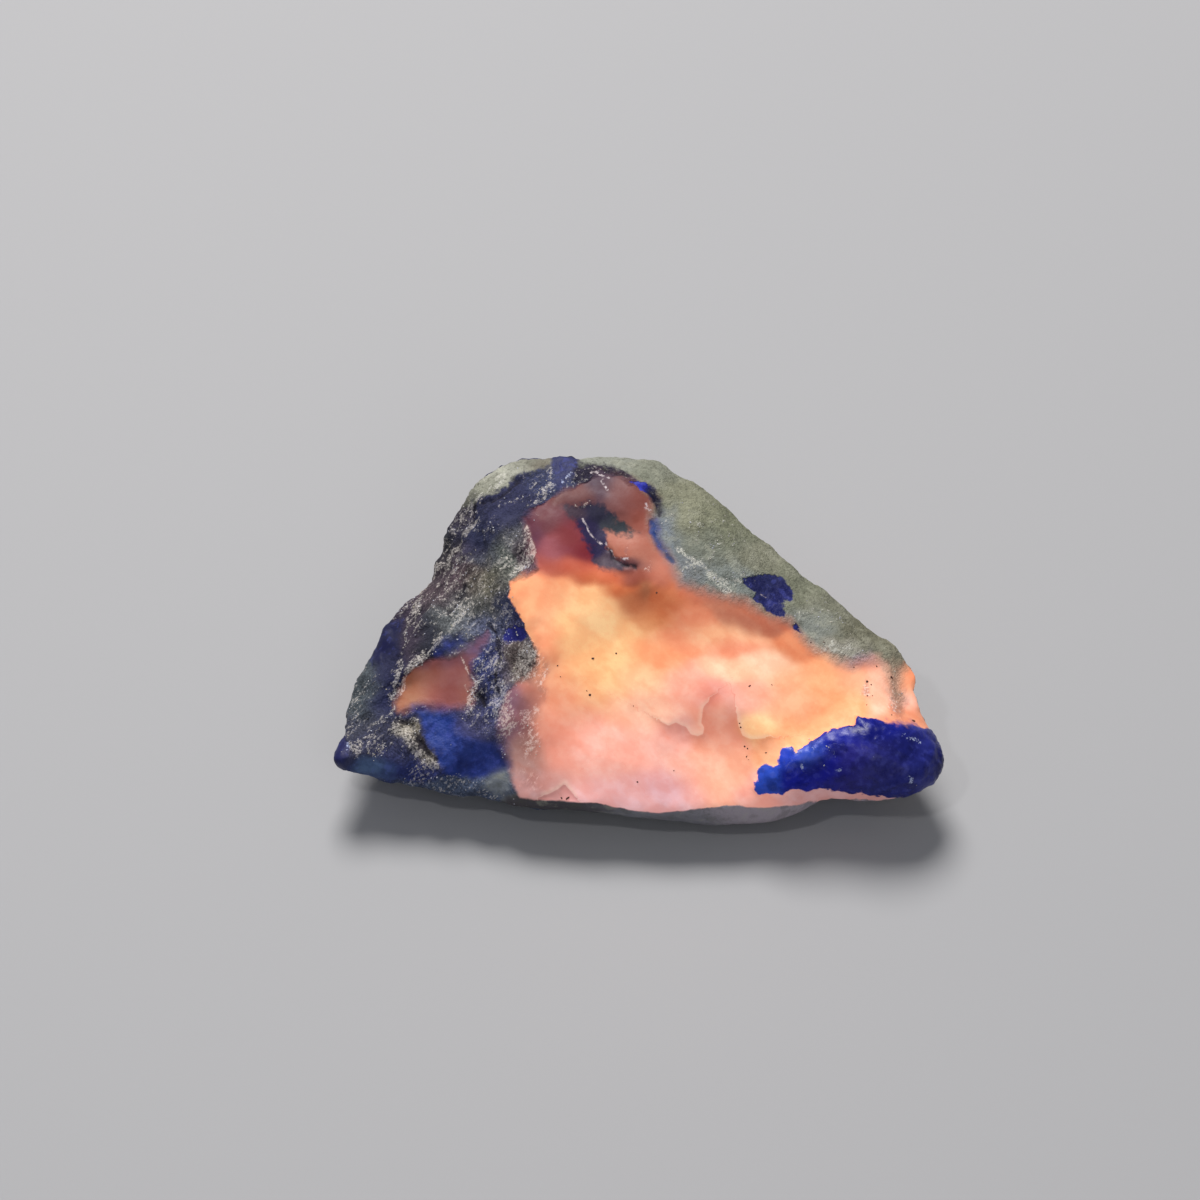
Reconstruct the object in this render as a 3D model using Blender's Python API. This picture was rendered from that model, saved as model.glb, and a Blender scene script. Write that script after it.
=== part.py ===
# Rough afghanite: one broken wedge of rock, with a smooth orange face, a blue lump at its right end,
# a dark layered left face and a grey-green back. Units are metres, +Z is up, and the stone lies on a
# small flat spot at z = 0. Seen from the front, +X runs to the right and +Y to the back.

import math

import bmesh
import bpy
from mathutils import Vector, kdtree, noise
from mathutils.geometry import delaunay_2d_cdt

STONE_LENGTH = 0.0303  # metres, from the left knob to the right end of the blue lump

# The stone is drawn on a plane that leans back from the floor. A landmark is (across, up, height) in
# millimetres: across and up are read on that plane, from the middle of the stone's front edge, and
# height is above the floor. Every length below is in the drawing's millimetres, and the finished rock is
# scaled to the length above.
DRAWING_LEAN = math.radians(50)
UNDER_LEAN = math.radians(68)  # the under skin is spanned on a plane that leans less
LONGEST_EDGE = 0.80  # of the triangles, before wear and relief
FLAT_ANGLE = math.radians(12)  # across an edge flatter than this, two triangles may swap their diagonal
EDGE_WEAR = 0.50  # how far each smoothing step rounds the fracture edges, 0 to 1
WEAR_UNDONE = 0.515  # how far it is then undone, which keeps the rock from shrinking
WEAR_STEPS = 6

# The outline, once round from the left knob over the top
OUTLINE = [
    # left knob and the long left side, up to the notch
    (-15.10, 3.45, 3.2), (-14.80, 4.10, 3.4), (-14.45, 4.70, 3.4), (-14.50, 5.15, 3.3), (-14.40, 6.25, 3.5),
    (-14.00, 7.45, 3.9), (-13.15, 9.00, 4.5), (-12.25, 10.30, 5.0), (-11.20, 11.45, 5.5), (-10.35, 12.10, 5.8),
    # notch to the top
    (-10.10, 13.10, 6.4), (-9.80, 14.20, 7.2), (-9.35, 15.15, 8.0), (-8.70, 16.25, 8.9), (-7.75, 17.45, 9.8),
    (-7.05, 18.05, 10.2), (-6.10, 18.35, 10.5), (-4.60, 18.40, 10.8), (-3.30, 18.55, 11.0), (-2.90, 18.30, 10.9),
    (-1.65, 18.40, 10.7), (-0.10, 18.35, 10.5), (1.20, 18.25, 10.3), (1.85, 17.75, 10.0), (3.00, 17.25, 9.7),
    # the straight slope down to the right end
    (3.85, 16.60, 9.3), (4.90, 15.55, 8.6), (6.15, 14.45, 8.0), (7.80, 13.10, 7.3), (8.90, 12.10, 6.8),
    (10.45, 10.90, 6.2), (12.00, 9.75, 5.6), (13.10, 8.85, 5.2), (13.60, 8.20, 4.8), (13.95, 7.40, 4.5),
    # right end: two lobes and the blue lump
    (13.80, 6.65, 4.3), (14.10, 5.75, 4.0), (14.50, 4.95, 3.7), (14.95, 4.20, 3.4), (15.15, 3.40, 3.0),
    (14.95, 2.65, 2.7), (14.45, 2.00, 2.4), (13.50, 1.55, 2.2), (12.15, 1.40, 2.1), (10.25, 1.45, 2.2),
    # front edge, back to the knob
    (8.90, 1.35, 2.1), (8.05, 0.95, 1.8), (7.00, 0.45, 1.4), (5.90, 0.15, 1.2), (3.40, 0.05, 1.1),
    (2.15, 0.25, 1.1), (0.30, 0.50, 1.3), (-1.65, 0.75, 1.4), (-3.85, 0.95, 1.5), (-6.00, 1.15, 1.6),
    (-7.55, 1.45, 1.8), (-9.05, 1.75, 2.0), (-10.80, 2.10, 2.2), (-12.50, 2.35, 2.3), (-14.05, 2.65, 2.4),
    (-14.85, 2.95, 2.7),
]

# Landmarks inside the outline, on the side that faces up and forward. Each list is one feature of the rock.
UPPER_SIDE = {
    "front_rim": ("orange", [
        (-5.85, 1.45, 2.7), (-3.85, 1.30, 2.7), (-1.85, 1.15, 2.6), (0.15, 0.80, 2.4), (2.15, 0.80, 2.5),
        (4.15, 1.00, 2.6), (5.65, 1.20, 2.7), (7.65, 1.40, 2.6),
    ]),
    "crest": ("dark", [
        (-3.10, 17.85, 11.2), (-4.60, 16.65, 11.0), (-5.65, 15.25, 10.6), (-5.45, 13.75, 10.1),
        (-5.20, 12.85, 9.9), (-6.25, 12.05, 9.7), (-5.80, 10.85, 9.0), (-5.30, 9.65, 8.3), (-5.00, 8.25, 7.4),
        (-5.45, 6.75, 6.3), (-6.45, 5.15, 5.0), (-6.45, 4.00, 4.2), (-6.25, 2.75, 3.4),
    ]),
    "upper_crease": ("orange", [
        (-4.60, 12.95, 10.1), (-2.60, 12.50, 9.9), (-0.60, 12.00, 9.6), (1.40, 11.50, 9.2), (3.65, 11.10, 8.8),
        (5.90, 10.40, 8.2), (8.15, 9.15, 7.2), (10.40, 8.35, 6.4), (11.75, 8.15, 6.0),
    ]),
    "orange_face": ("orange", [
        (-3.35, 10.25, 8.5), (-3.85, 7.25, 6.6), (-3.85, 4.00, 4.5), (-0.85, 9.25, 7.6), (-0.85, 6.25, 5.9),
        (-0.60, 3.25, 4.1), (2.15, 9.25, 7.5), (2.65, 6.75, 6.2), (2.65, 4.25, 4.4), (5.15, 8.25, 7.1),
        (5.40, 5.75, 5.7), (5.15, 3.00, 3.7), (7.90, 7.25, 6.2), (8.15, 5.00, 4.9), (10.65, 6.75, 5.6),
    ]),
    "right_lobes": ("orange", [
        (12.05, 7.25, 5.6), (12.15, 6.00, 5.2), (12.80, 7.25, 4.9), (13.05, 6.00, 4.5), (13.50, 7.25, 5.0),
        (13.55, 6.25, 4.6),
    ]),
    "blue_lump": ("blue", [
        (6.05, 2.25, 3.4), (7.65, 3.50, 4.5), (9.40, 4.25, 5.0), (11.15, 4.85, 5.4), (13.15, 4.60, 5.0),
        (14.15, 3.75, 4.2), (11.65, 3.25, 4.4), (13.65, 2.65, 3.7), (9.65, 2.35, 3.6), (11.90, 2.00, 3.2),
    ]),
    "red_top": ("orange", [
        (-3.10, 16.25, 11.2), (-0.60, 16.00, 10.9), (-4.35, 14.75, 10.8), (-3.60, 13.50, 10.3),
        (0.15, 14.00, 10.2), (1.15, 12.50, 9.7),
    ]),
    "pocket": ("dark", [(-2.60, 15.00, 10.75), (-1.25, 14.50, 10.45), (-1.35, 13.25, 10.0)]),
    "grey_band": ("grey", [
        (-1.85, 17.65, 11.0), (0.15, 17.15, 10.9), (0.90, 15.50, 10.4), (1.40, 16.75, 10.8),
        (3.15, 15.75, 10.3), (2.65, 13.50, 9.8), (4.90, 14.00, 9.3), (4.65, 12.00, 9.0), (6.65, 12.25, 8.3),
        (7.65, 10.75, 7.9), (9.65, 10.25, 7.0), (10.65, 9.25, 6.6), (12.40, 8.75, 5.8),
    ]),
    "left_rim": ("grey", [(-6.85, 17.25, 10.4), (-7.95, 16.00, 9.6), (-5.85, 16.90, 10.6)]),
    "left_face": ("dark", [
        (-6.85, 14.75, 10.0), (-8.60, 14.00, 8.4), (-6.85, 12.75, 9.4), (-9.10, 12.25, 7.3), (-7.85, 11.00, 7.9),
        (-6.35, 9.75, 7.9), (-10.35, 10.75, 6.4), (-9.60, 9.25, 6.6), (-11.85, 9.25, 5.5), (-11.10, 8.00, 5.7),
        (-12.60, 6.75, 4.8), (-11.95, 5.65, 4.6),
    ]),
    "left_window": ("orange", [
        (-10.60, 7.25, 5.0), (-8.35, 6.75, 5.6), (-7.45, 9.25, 7.2), (-9.85, 6.00, 4.6), (-6.85, 6.75, 6.1),
    ]),
    "left_foot": ("blue", [
        (-8.35, 4.25, 4.0), (-10.10, 3.50, 3.5), (-11.85, 4.00, 3.9), (-7.35, 3.00, 3.4), (-13.25, 4.50, 3.9),
        (-13.85, 5.50, 3.9), (-13.10, 3.25, 3.3), (-14.60, 3.50, 3.9), (-11.85, 2.50, 2.9), (-9.85, 2.25, 2.9),
        (-7.75, 1.90, 2.8),
    ]),
}

# Landmarks on the side that faces down and back, as (x, y, height) in millimetres. The foot is drawn below
# the floor at height 0, and is pressed flat where it meets it.
UNDER_SIDE = {
    "front_undercut": ("grey", [
        (-11.6, 2.7, 1.4), (-9.2, 2.3, 0.9), (-6.6, 1.8, 0.6), (-3.8, 1.6, 0.5), (-1.0, 1.3, 0.4),
        (1.8, 0.9, 0.3), (4.4, 0.8, 0.25), (6.8, 1.3, 0.4), (8.9, 2.1, 0.8), (11.0, 2.2, 1.1),
    ]),
    "foot": ("foot", [
        (-4.6, 5.8, -0.35), (-2.6, 4.9, -0.35), (0.0, 4.5, -0.35), (2.8, 4.6, -0.35), (4.6, 5.6, -0.35),
        (5.0, 7.4, -0.35), (3.8, 9.2, -0.35), (1.2, 10.2, -0.35), (-1.8, 10.2, -0.35), (-4.2, 9.0, -0.35),
        (-5.1, 7.4, -0.35), (0.0, 7.2, -0.35),
    ]),
    "back": ("hidden", [
        (-2.4, 15.7, 8.2), (1.6, 14.9, 7.4), (-0.6, 14.6, 4.8), (1.2, 12.7, 2.0), (-3.2, 12.9, 2.3),
        (-5.2, 14.7, 6.6), (-7.6, 12.6, 4.9), (-6.8, 11.0, 2.4),
    ]),
    "right_back": ("hidden", [
        (3.4, 13.0, 5.2), (6.8, 11.6, 4.8), (4.6, 11.4, 2.4), (7.4, 9.6, 1.9), (9.9, 9.0, 3.4),
        (9.6, 7.0, 1.2), (12.2, 6.2, 2.4), (11.2, 4.2, 0.9), (13.4, 4.6, 1.8), (14.2, 3.0, 1.7),
        (12.6, 2.2, 1.2),
    ]),
    "left_back": ("hidden", [
        (-9.4, 11.0, 4.0), (-8.6, 9.0, 1.9), (-11.4, 8.6, 2.6), (-9.2, 6.6, 1.0), (-12.7, 7.2, 2.1),
        (-10.4, 4.6, 0.9), (-13.5, 5.3, 1.9), (-12.6, 3.6, 1.3), (-13.9, 2.9, 1.5),
    ]),
}

# Relief of each kind of rock: depth of its broad swells, of its lumps and of its ledges
RELIEF = {
    "orange": (0.11, 0.01, 0.00),
    "blue": (0.10, 0.15, 0.00),
    "dark": (0.10, 0.12, 0.26),
    "grey": (0.10, 0.11, 0.08),
    "foot": (0.05, 0.05, 0.05),
    "hidden": (0.30, 0.13, 0.30),
}
SWELL_SPACING = 3.3
LUMP_SPACING = 1.5
LEDGE_SPACING = 2.1
LEDGE_ACROSS = Vector((0.74, -0.52, -0.43))  # the ledges of the layered rock are stacked along this line
LEDGE_RISE = 0.72  # share of a layer that climbs slowly, before the step down to the next
WANDER = 0.16  # how far fracture edges wander from straight lines
WANDER_SPACING = 2.6
WANDER_SHIFTS = [Vector((9.3, 0.7, 4.1)), Vector((-1.5, 6.2, -3.3)), Vector((5.8, -7.9, 2.4))]

# Rounded pits and lumps too small for a landmark: (across, up, height, radius, depth), depth below 0 is a lump
DIMPLES = [
    (4.6, 4.9, 5.2, 1.5, 0.14), (2.2, 4.6, 4.9, 1.0, 0.16), (5.9, 4.9, 5.1, 0.8, -0.10),
    (8.7, 3.1, 4.1, 0.7, 0.22), (13.6, 3.9, 4.5, 0.8, 0.24), (11.6, 3.9, 4.9, 1.0, -0.16),
    (-11.3, 4.4, 4.0, 0.7, -0.20), (-9.9, 3.9, 3.7, 0.7, -0.18), (7.0, 11.9, 8.3, 0.9, 0.14),
    (-2.3, 10.4, 8.3, 1.7, -0.12), (0.6, 10.9, 8.9, 1.4, 0.16), (9.0, 6.0, 5.5, 1.3, -0.10),
]

# Areas that stand proud or lie back as a whole: their outline on the drawing plane, how far they rise
# towards its viewer, below 0 for a hollow, and how wide their sloping edge is
AREAS = {
    "blue_lump": (0.34, 0.55, [
        (5.80, 1.75), (6.00, 2.65), (6.30, 3.20), (7.00, 3.45), (7.65, 4.00), (8.30, 4.00), (9.25, 4.60),
        (10.65, 5.05), (10.95, 5.45), (12.15, 5.20), (13.65, 5.05), (14.40, 4.85), (16.00, 3.75), (15.50, 1.60),
        (13.50, 1.40), (11.15, 1.65), (9.25, 1.95), (7.65, 1.85),
    ]),
    "pocket": (-0.32, 1.00, [
        (-3.60, 15.85), (-1.95, 16.25), (-1.25, 15.50), (0.05, 14.75), (-0.35, 14.40), (-1.60, 14.50),
        (-1.85, 14.00), (-0.85, 13.25), (-0.60, 12.50), (-1.85, 12.75), (-2.85, 14.50),
    ]),
    "dark_trough": (-0.30, 0.60, [
        (-5.00, 12.90), (-6.20, 12.25), (-6.25, 11.35), (-5.45, 10.00), (-5.00, 8.50), (-5.10, 7.65),
        (-5.60, 6.75), (-6.25, 6.00), (-7.95, 6.25), (-7.95, 9.25), (-7.35, 11.25), (-6.60, 12.50), (-5.60, 13.50),
    ]),
}

COLOURS = {  # linear base colour and roughness of each kind of rock
    "orange": ((0.95, 0.50, 0.28, 1.0), 0.45),
    "blue": ((0.012, 0.020, 0.20, 1.0), 0.30),
    "dark": ((0.040, 0.043, 0.085, 1.0), 0.55),
    "grey": ((0.22, 0.22, 0.19, 1.0), 0.60),
    "foot": ((0.15, 0.15, 0.14, 1.0), 0.70),
    "hidden": ((0.17, 0.17, 0.16, 1.0), 0.65),
}


def clear_scene():
    for obj in list(bpy.data.objects):
        bpy.data.objects.remove(obj, do_unlink=True)


def from_drawing(across, up, height):
    """The point in space, in millimetres, of a landmark on the leaning drawing plane."""
    back = (up - height * math.cos(DRAWING_LEAN)) / math.sin(DRAWING_LEAN)
    return Vector((across, back, height))


def on_plane(point, lean):
    """Where a point in space falls on a plane that leans back from the floor by this angle."""
    return Vector((point.x, point.y * math.sin(lean) + point.z * math.cos(lean)))


def add_skin(bm, rim_verts, points, lean, facing_viewer):
    """Spans the outline and the landmarks inside it with triangles, as one half of the rock's surface."""
    verts = rim_verts + [bm.verts.new(point) for point in points]
    flat = [on_plane(vert.co, lean) for vert in verts]
    count = len(rim_verts)
    rim = [(i, (i + 1) % count) for i in range(count)]
    inside_outline = 1
    _, _, triangles, origin_of, _, _ = delaunay_2d_cdt(flat, rim, [], inside_outline, 1e-6)
    for triangle in triangles:
        corners = [verts[origin_of[i][0]] for i in triangle]
        bm.faces.new(corners if facing_viewer else corners[::-1])


def rock_cage():
    """The rock's fracture faces as one closed cage: an upper skin and an under skin that share the outline."""
    bm = bmesh.new()
    rim_verts = [bm.verts.new(from_drawing(*landmark)) for landmark in OUTLINE]
    upper = [from_drawing(*landmark) for _, landmarks in UPPER_SIDE.values() for landmark in landmarks]
    under = [Vector(landmark) for _, landmarks in UNDER_SIDE.values() for landmark in landmarks]
    add_skin(bm, rim_verts, upper, DRAWING_LEAN, facing_viewer=True)
    add_skin(bm, rim_verts, under, UNDER_LEAN, facing_viewer=False)
    bmesh.ops.recalc_face_normals(bm, faces=bm.faces[:])
    return bm


def refine(bm):
    """Splits the cage's long edges, and evens out the triangles on its flat parts, until no edge is long."""
    while long_edges := [edge for edge in bm.edges if edge.calc_length() > LONGEST_EDGE]:
        bmesh.ops.subdivide_edges(bm, edges=long_edges, cuts=1)
        bmesh.ops.triangulate(bm, faces=bm.faces[:])
        flat_edges = [edge for edge in bm.edges if edge.calc_face_angle() < FLAT_ANGLE]
        bmesh.ops.beautify_fill(bm, faces=bm.faces[:], edges=flat_edges, method="AREA")


def wear_edges(bm):
    """Rounds the fracture edges in steps that leave the rock its size."""
    for _ in range(WEAR_STEPS):
        for factor in (EDGE_WEAR, -WEAR_UNDONE):
            bmesh.ops.smooth_vert(
                bm, verts=bm.verts[:], factor=factor, use_axis_x=True, use_axis_y=True, use_axis_z=True)


def edge_distance(spot, outline):
    """Distance from a spot on the drawing plane to an area's outline, above 0 inside and below 0 outside."""
    nearest, inside = math.inf, False
    for start, end in zip(outline, outline[1:] + outline[:1]):
        start, end = Vector(start), Vector(end)
        side = end - start
        along = min(1.0, max(0.0, (spot - start).dot(side) / side.length_squared))
        nearest = min(nearest, (start + side * along - spot).length)
        if (start.y > spot.y) != (end.y > spot.y):
            crossing = start.x + side.x * (spot.y - start.y) / side.y
            inside ^= spot.x < crossing
    return nearest if inside else -nearest


def raise_areas(bm):
    """Lifts or sinks each area along the drawing's line of sight, so that the outline stays as drawn."""
    towards_viewer = Vector((0, -math.cos(DRAWING_LEAN), math.sin(DRAWING_LEAN)))
    bm.normal_update()
    facing = [vert for vert in bm.verts if vert.normal.dot(towards_viewer) > 0]
    for rise, edge_width, outline in AREAS.values():
        for vert in facing:
            inside_by = edge_distance(on_plane(vert.co, DRAWING_LEAN), outline)
            share = min(1.0, max(0.0, inside_by / edge_width + 0.5))
            vert.co += towards_viewer * rise * share * share * (3 - 2 * share)


def rock_kinds():
    """A lookup from any point on the rock to the kinds of rock of the landmarks near it."""
    marks = [(from_drawing(*m), kind) for kind, landmarks in UPPER_SIDE.values() for m in landmarks]
    marks += [(Vector(m), kind) for kind, landmarks in UNDER_SIDE.values() for m in landmarks]
    tree = kdtree.KDTree(len(marks))
    for index, (point, _) in enumerate(marks):
        tree.insert(point, index)
    tree.balance()
    return tree, [kind for _, kind in marks]


def relief_at(point, tree, kinds):
    """Depth of swells, lumps and ledges here, blended from the nearest landmarks."""
    total, mixed = 0.0, [0.0, 0.0, 0.0]
    for _, index, distance in tree.find_n(point, 4):
        share = 1.0 / (distance + 0.4) ** 2
        total += share
        for i, value in enumerate(RELIEF[kinds[index]]):
            mixed[i] += share * value
    return [value / total for value in mixed]


def ledge_height(point):
    """A saw-tooth from 0 to 1: each layer of the rock rises slowly and ends in a short broken step."""
    wobble = 0.9 * noise.noise(point * 0.33) + 0.35 * noise.noise(point * 0.9)
    layer = point.dot(LEDGE_ACROSS) / LEDGE_SPACING + wobble
    along = layer - math.floor(layer)
    return along / LEDGE_RISE if along < LEDGE_RISE else (1.0 - along) / (1.0 - LEDGE_RISE)


def wander_at(point):
    """How far the rock strays from its straight-edged cage here, along each axis."""
    spot = point / WANDER_SPACING
    return WANDER * Vector([noise.noise(spot + shift) for shift in WANDER_SHIFTS])


def roughen(bm):
    """Gives the fracture edges their wander and each kind of rock its swells, lumps, ledges and pits."""
    tree, kinds = rock_kinds()
    bm.normal_update()
    dimples = [(from_drawing(*row[:3]), row[3], row[4]) for row in DIMPLES]
    moved = []
    for vert in bm.verts:
        point = vert.co.copy()
        swell_depth, lump_depth, ledge_depth = relief_at(point, tree, kinds)
        push = swell_depth * noise.noise(point / SWELL_SPACING)
        push += lump_depth * noise.noise(point / LUMP_SPACING)
        push += ledge_depth * (ledge_height(point) - 0.5)
        for centre, radius, depth in dimples:
            near = (point - centre).length / radius
            if near < 1.0:
                push -= depth * (1.0 - near * near) ** 2
        moved.append(point + vert.normal * push + wander_at(point))
    for vert, point in zip(bm.verts, moved):
        vert.co = point


def press_flat_spot(bm):
    """Flattens the foot where it reaches below the floor."""
    for vert in bm.verts:
        vert.co.z = max(vert.co.z, 0.0)


def colour_faces(bm, slots):
    """Gives each face the material of its nearest landmark."""
    tree, kinds = rock_kinds()
    for face in bm.faces:
        face.smooth = True
        _, index, _ = tree.find(face.calc_center_median())
        face.material_index = slots.index(kinds[index])


def rock_material(kind):
    colour, roughness = COLOURS[kind]
    material = bpy.data.materials.new("afghanite_" + kind)
    material.use_nodes = True
    shader = material.node_tree.nodes["Principled BSDF"]
    shader.inputs["Base Color"].default_value = colour
    shader.inputs["Roughness"].default_value = roughness
    material.diffuse_color = colour
    return material


def centre_and_scale(bm):
    """Sets the origin on the floor under the middle of the rock, and scales the drawing to metres."""
    xs = [vert.co.x for vert in bm.verts]
    ys = [vert.co.y for vert in bm.verts]
    middle = Vector(((min(xs) + max(xs)) / 2, (min(ys) + max(ys)) / 2, 0))
    bmesh.ops.translate(bm, vec=-middle, verts=bm.verts[:])
    scale = STONE_LENGTH / (max(xs) - min(xs))
    bmesh.ops.scale(bm, vec=(scale, scale, scale), verts=bm.verts[:])


def build_stone(collection):
    bm = rock_cage()
    refine(bm)
    wear_edges(bm)
    raise_areas(bm)
    roughen(bm)
    press_flat_spot(bm)
    slots = list(COLOURS)
    colour_faces(bm, slots)
    centre_and_scale(bm)
    mesh = bpy.data.meshes.new("afghanite_stone")
    bm.to_mesh(mesh)
    bm.free()
    for kind in slots:
        mesh.materials.append(rock_material(kind))
    stone = bpy.data.objects.new("afghanite_stone", mesh)
    collection.objects.link(stone)


def main():
    clear_scene()
    collection = bpy.data.collections.new("rough_afghanite")
    bpy.context.scene.collection.children.link(collection)
    build_stone(collection)


main()
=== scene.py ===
# Rough afghanite: a fractured wedge with an orange face that carries a painted glow, a blue lump and a dark layered
# side.
# The stone's form comes from the frame. Colours are laid on it in millimetres, seen from the camera's side.

import math

import bmesh
import bpy
import numpy as np
from mathutils import Matrix, Vector, noise
from mathutils.bvhtree import BVHTree


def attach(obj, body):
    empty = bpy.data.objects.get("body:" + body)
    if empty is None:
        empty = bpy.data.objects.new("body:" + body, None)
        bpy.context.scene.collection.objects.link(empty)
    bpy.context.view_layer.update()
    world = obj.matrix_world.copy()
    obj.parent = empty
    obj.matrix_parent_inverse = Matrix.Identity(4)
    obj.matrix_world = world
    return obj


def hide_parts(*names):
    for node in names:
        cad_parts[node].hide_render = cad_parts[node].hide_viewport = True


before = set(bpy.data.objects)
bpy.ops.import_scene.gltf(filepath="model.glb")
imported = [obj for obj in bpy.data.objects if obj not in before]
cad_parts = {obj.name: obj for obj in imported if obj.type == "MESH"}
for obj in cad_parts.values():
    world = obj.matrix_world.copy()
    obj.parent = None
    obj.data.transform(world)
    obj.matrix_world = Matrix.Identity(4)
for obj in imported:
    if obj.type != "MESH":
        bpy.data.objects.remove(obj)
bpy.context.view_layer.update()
mm = 0.001

# Where the camera looks from, and how the stone is seen from there
seen = {
    "lean": math.radians(50),  # the camera's height above the floor, as an angle
    "lens": 180.0,
    "fieldWidth": 60.0,  # mm, what the picture takes in at the stone
    "middleAcross": -1.85,  # mm, the picture's middle on the seen plane
    "middleUp": 11.25,
    "lowest": 0.05,  # mm, the stone's lowest seen edge on that plane
    "acrossShift": 0.025,
}
rightWay = Vector((1, 0, 0))
upWay = Vector((0, math.sin(seen["lean"]), math.cos(seen["lean"])))
viewWay = Vector((0, -math.cos(seen["lean"]), math.sin(seen["lean"])))


def linear(colour):
    # from the 0 to 255 values that an eye or a screen reads, to light
    shares = [value / 255 for value in colour]
    return [s / 12.92 if s <= 0.04045 else ((s + 0.055) / 1.055) ** 2.4 for s in shares]


def paint(*colour):
    return (*linear(colour), 1)


# Nodes

def addNode(tree, kind, **settings):
    made = tree.nodes.new(kind)
    for name, value in settings.items():
        setattr(made, name, value)
    return made


def plug(tree, value, socket):
    if isinstance(value, bpy.types.NodeSocket):
        tree.links.new(value, socket)
    elif value is not None:
        socket.default_value = value


def calc(tree, operation, *values):
    made = addNode(tree, "ShaderNodeMath", operation=operation)
    for value, socket in zip(values, made.inputs):
        plug(tree, value, socket)
    return made.outputs[0]


def calcVector(tree, operation, first, second=None, scale=None):
    made = addNode(tree, "ShaderNodeVectorMath", operation=operation)
    plug(tree, first, made.inputs[0])
    plug(tree, second, made.inputs[1])
    plug(tree, scale, made.inputs[3])
    return made.outputs[1 if operation in ("DOT_PRODUCT", "LENGTH") else 0]


def ramp(tree, value, low, high, first=0.0, last=1.0):
    # a smooth step from first, at low, to last, at high
    made = addNode(tree, "ShaderNodeMapRange", interpolation_type="SMOOTHSTEP")
    for setting, socket in zip((value, low, high, first, last), made.inputs):
        plug(tree, setting, socket)
    return made.outputs[0]


def noiseIn(tree, place, scale, detail=2.0, roughness=0.5):
    made = addNode(tree, "ShaderNodeTexNoise")
    plug(tree, place, made.inputs["Vector"])
    plug(tree, scale, made.inputs["Scale"])
    plug(tree, detail, made.inputs["Detail"])
    plug(tree, roughness, made.inputs["Roughness"])
    return made.outputs[0]


def blendColours(tree, share, first, second, how="MIX"):
    made = addNode(tree, "ShaderNodeMix", data_type="RGBA", blend_type=how)
    plug(tree, share, made.inputs[0])
    plug(tree, first, made.inputs[6])
    plug(tree, second, made.inputs[7])
    return made.outputs[2]


# The stone's fine mesh

stoneMesh = {
    "mergeWithin": 0.002,  # mm
    "cuts": 2,
    "heldBelow": 0.15,  # mm above the floor, where no relief is added
    "freeAbove": 0.70,
}


def fineStone():
    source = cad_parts["afghanite_stone"].data
    bm = bmesh.new()
    bm.from_mesh(source)
    bmesh.ops.remove_doubles(bm, verts=bm.verts[:], dist=stoneMesh["mergeWithin"] * mm)
    for face in bm.faces:
        face.smooth = True
    coarse = bpy.data.meshes.new("coarseStone")
    bm.to_mesh(coarse)
    bm.free()
    holder = bpy.data.objects.new("coarseStone", coarse)
    bpy.context.scene.collection.objects.link(holder)
    finer = holder.modifiers.new("finer", "SUBSURF")
    finer.levels = stoneMesh["cuts"]
    finer.render_levels = stoneMesh["cuts"]
    fine = asMesh(holder)
    for vert in fine.vertices:
        vert.co.z = max(vert.co.z, 0.0)
    bpy.data.objects.remove(holder)
    fine.name = "stone"
    return fine


def asMesh(holder):
    # the object's mesh with its modifiers worked in
    bpy.context.view_layer.update()
    graph = bpy.context.evaluated_depsgraph_get()
    return bpy.data.meshes.new_from_object(holder.evaluated_get(graph), depsgraph=graph)


def readPlaces(mesh):
    places = np.zeros(len(mesh.vertices) * 3)
    mesh.vertices.foreach_get("co", places)
    return places.reshape(-1, 3) / mm


def readNormals(mesh):
    normals = np.zeros(len(mesh.vertices) * 3)
    mesh.vertices.foreach_get("normal", normals)
    return normals.reshape(-1, 3)


def onSeenPlane(places):
    # (across, up) in mm, as the camera sees each place
    across = places @ np.array(rightWay) + seen["acrossShift"]
    up = places @ np.array(upWay)
    return np.column_stack((across, up - up.min() + seen["lowest"]))


def steady(places, size, shift=0.0):
    # smooth noise from -1 to 1 at each place
    moved = places / size + shift
    return np.array([noise.noise(Vector(place)) for place in moved])


def insideBy(spots, outline):
    # distance to an outline in mm, above 0 inside it
    nearest = np.full(len(spots), 1e9)
    inside = np.zeros(len(spots), bool)
    x, y = spots[:, 0], spots[:, 1]
    for (ax, ay), (bx, by) in zip(outline, outline[1:] + outline[:1]):
        sx, sy = bx - ax, by - ay
        along = np.clip(((x - ax) * sx + (y - ay) * sy) / (sx * sx + sy * sy), 0, 1)
        nearest = np.minimum(nearest, np.hypot(ax + along * sx - x, ay + along * sy - y))
        if ay != by:
            crosses = (ay > y) != (by > y)
            inside ^= crosses & (x < ax + sx * (y - ay) / sy)
    return np.where(inside, nearest, -nearest)


def alongLine(spots, line, halfWidth):
    # distance inside a line of that half width
    nearest = np.full(len(spots), 1e9)
    x, y = spots[:, 0], spots[:, 1]
    for (ax, ay), (bx, by) in zip(line, line[1:]):
        sx, sy = bx - ax, by - ay
        along = np.clip(((x - ax) * sx + (y - ay) * sy) / (sx * sx + sy * sy), 0, 1)
        nearest = np.minimum(nearest, np.hypot(ax + along * sx - x, ay + along * sy - y))
    return halfWidth - nearest


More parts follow.
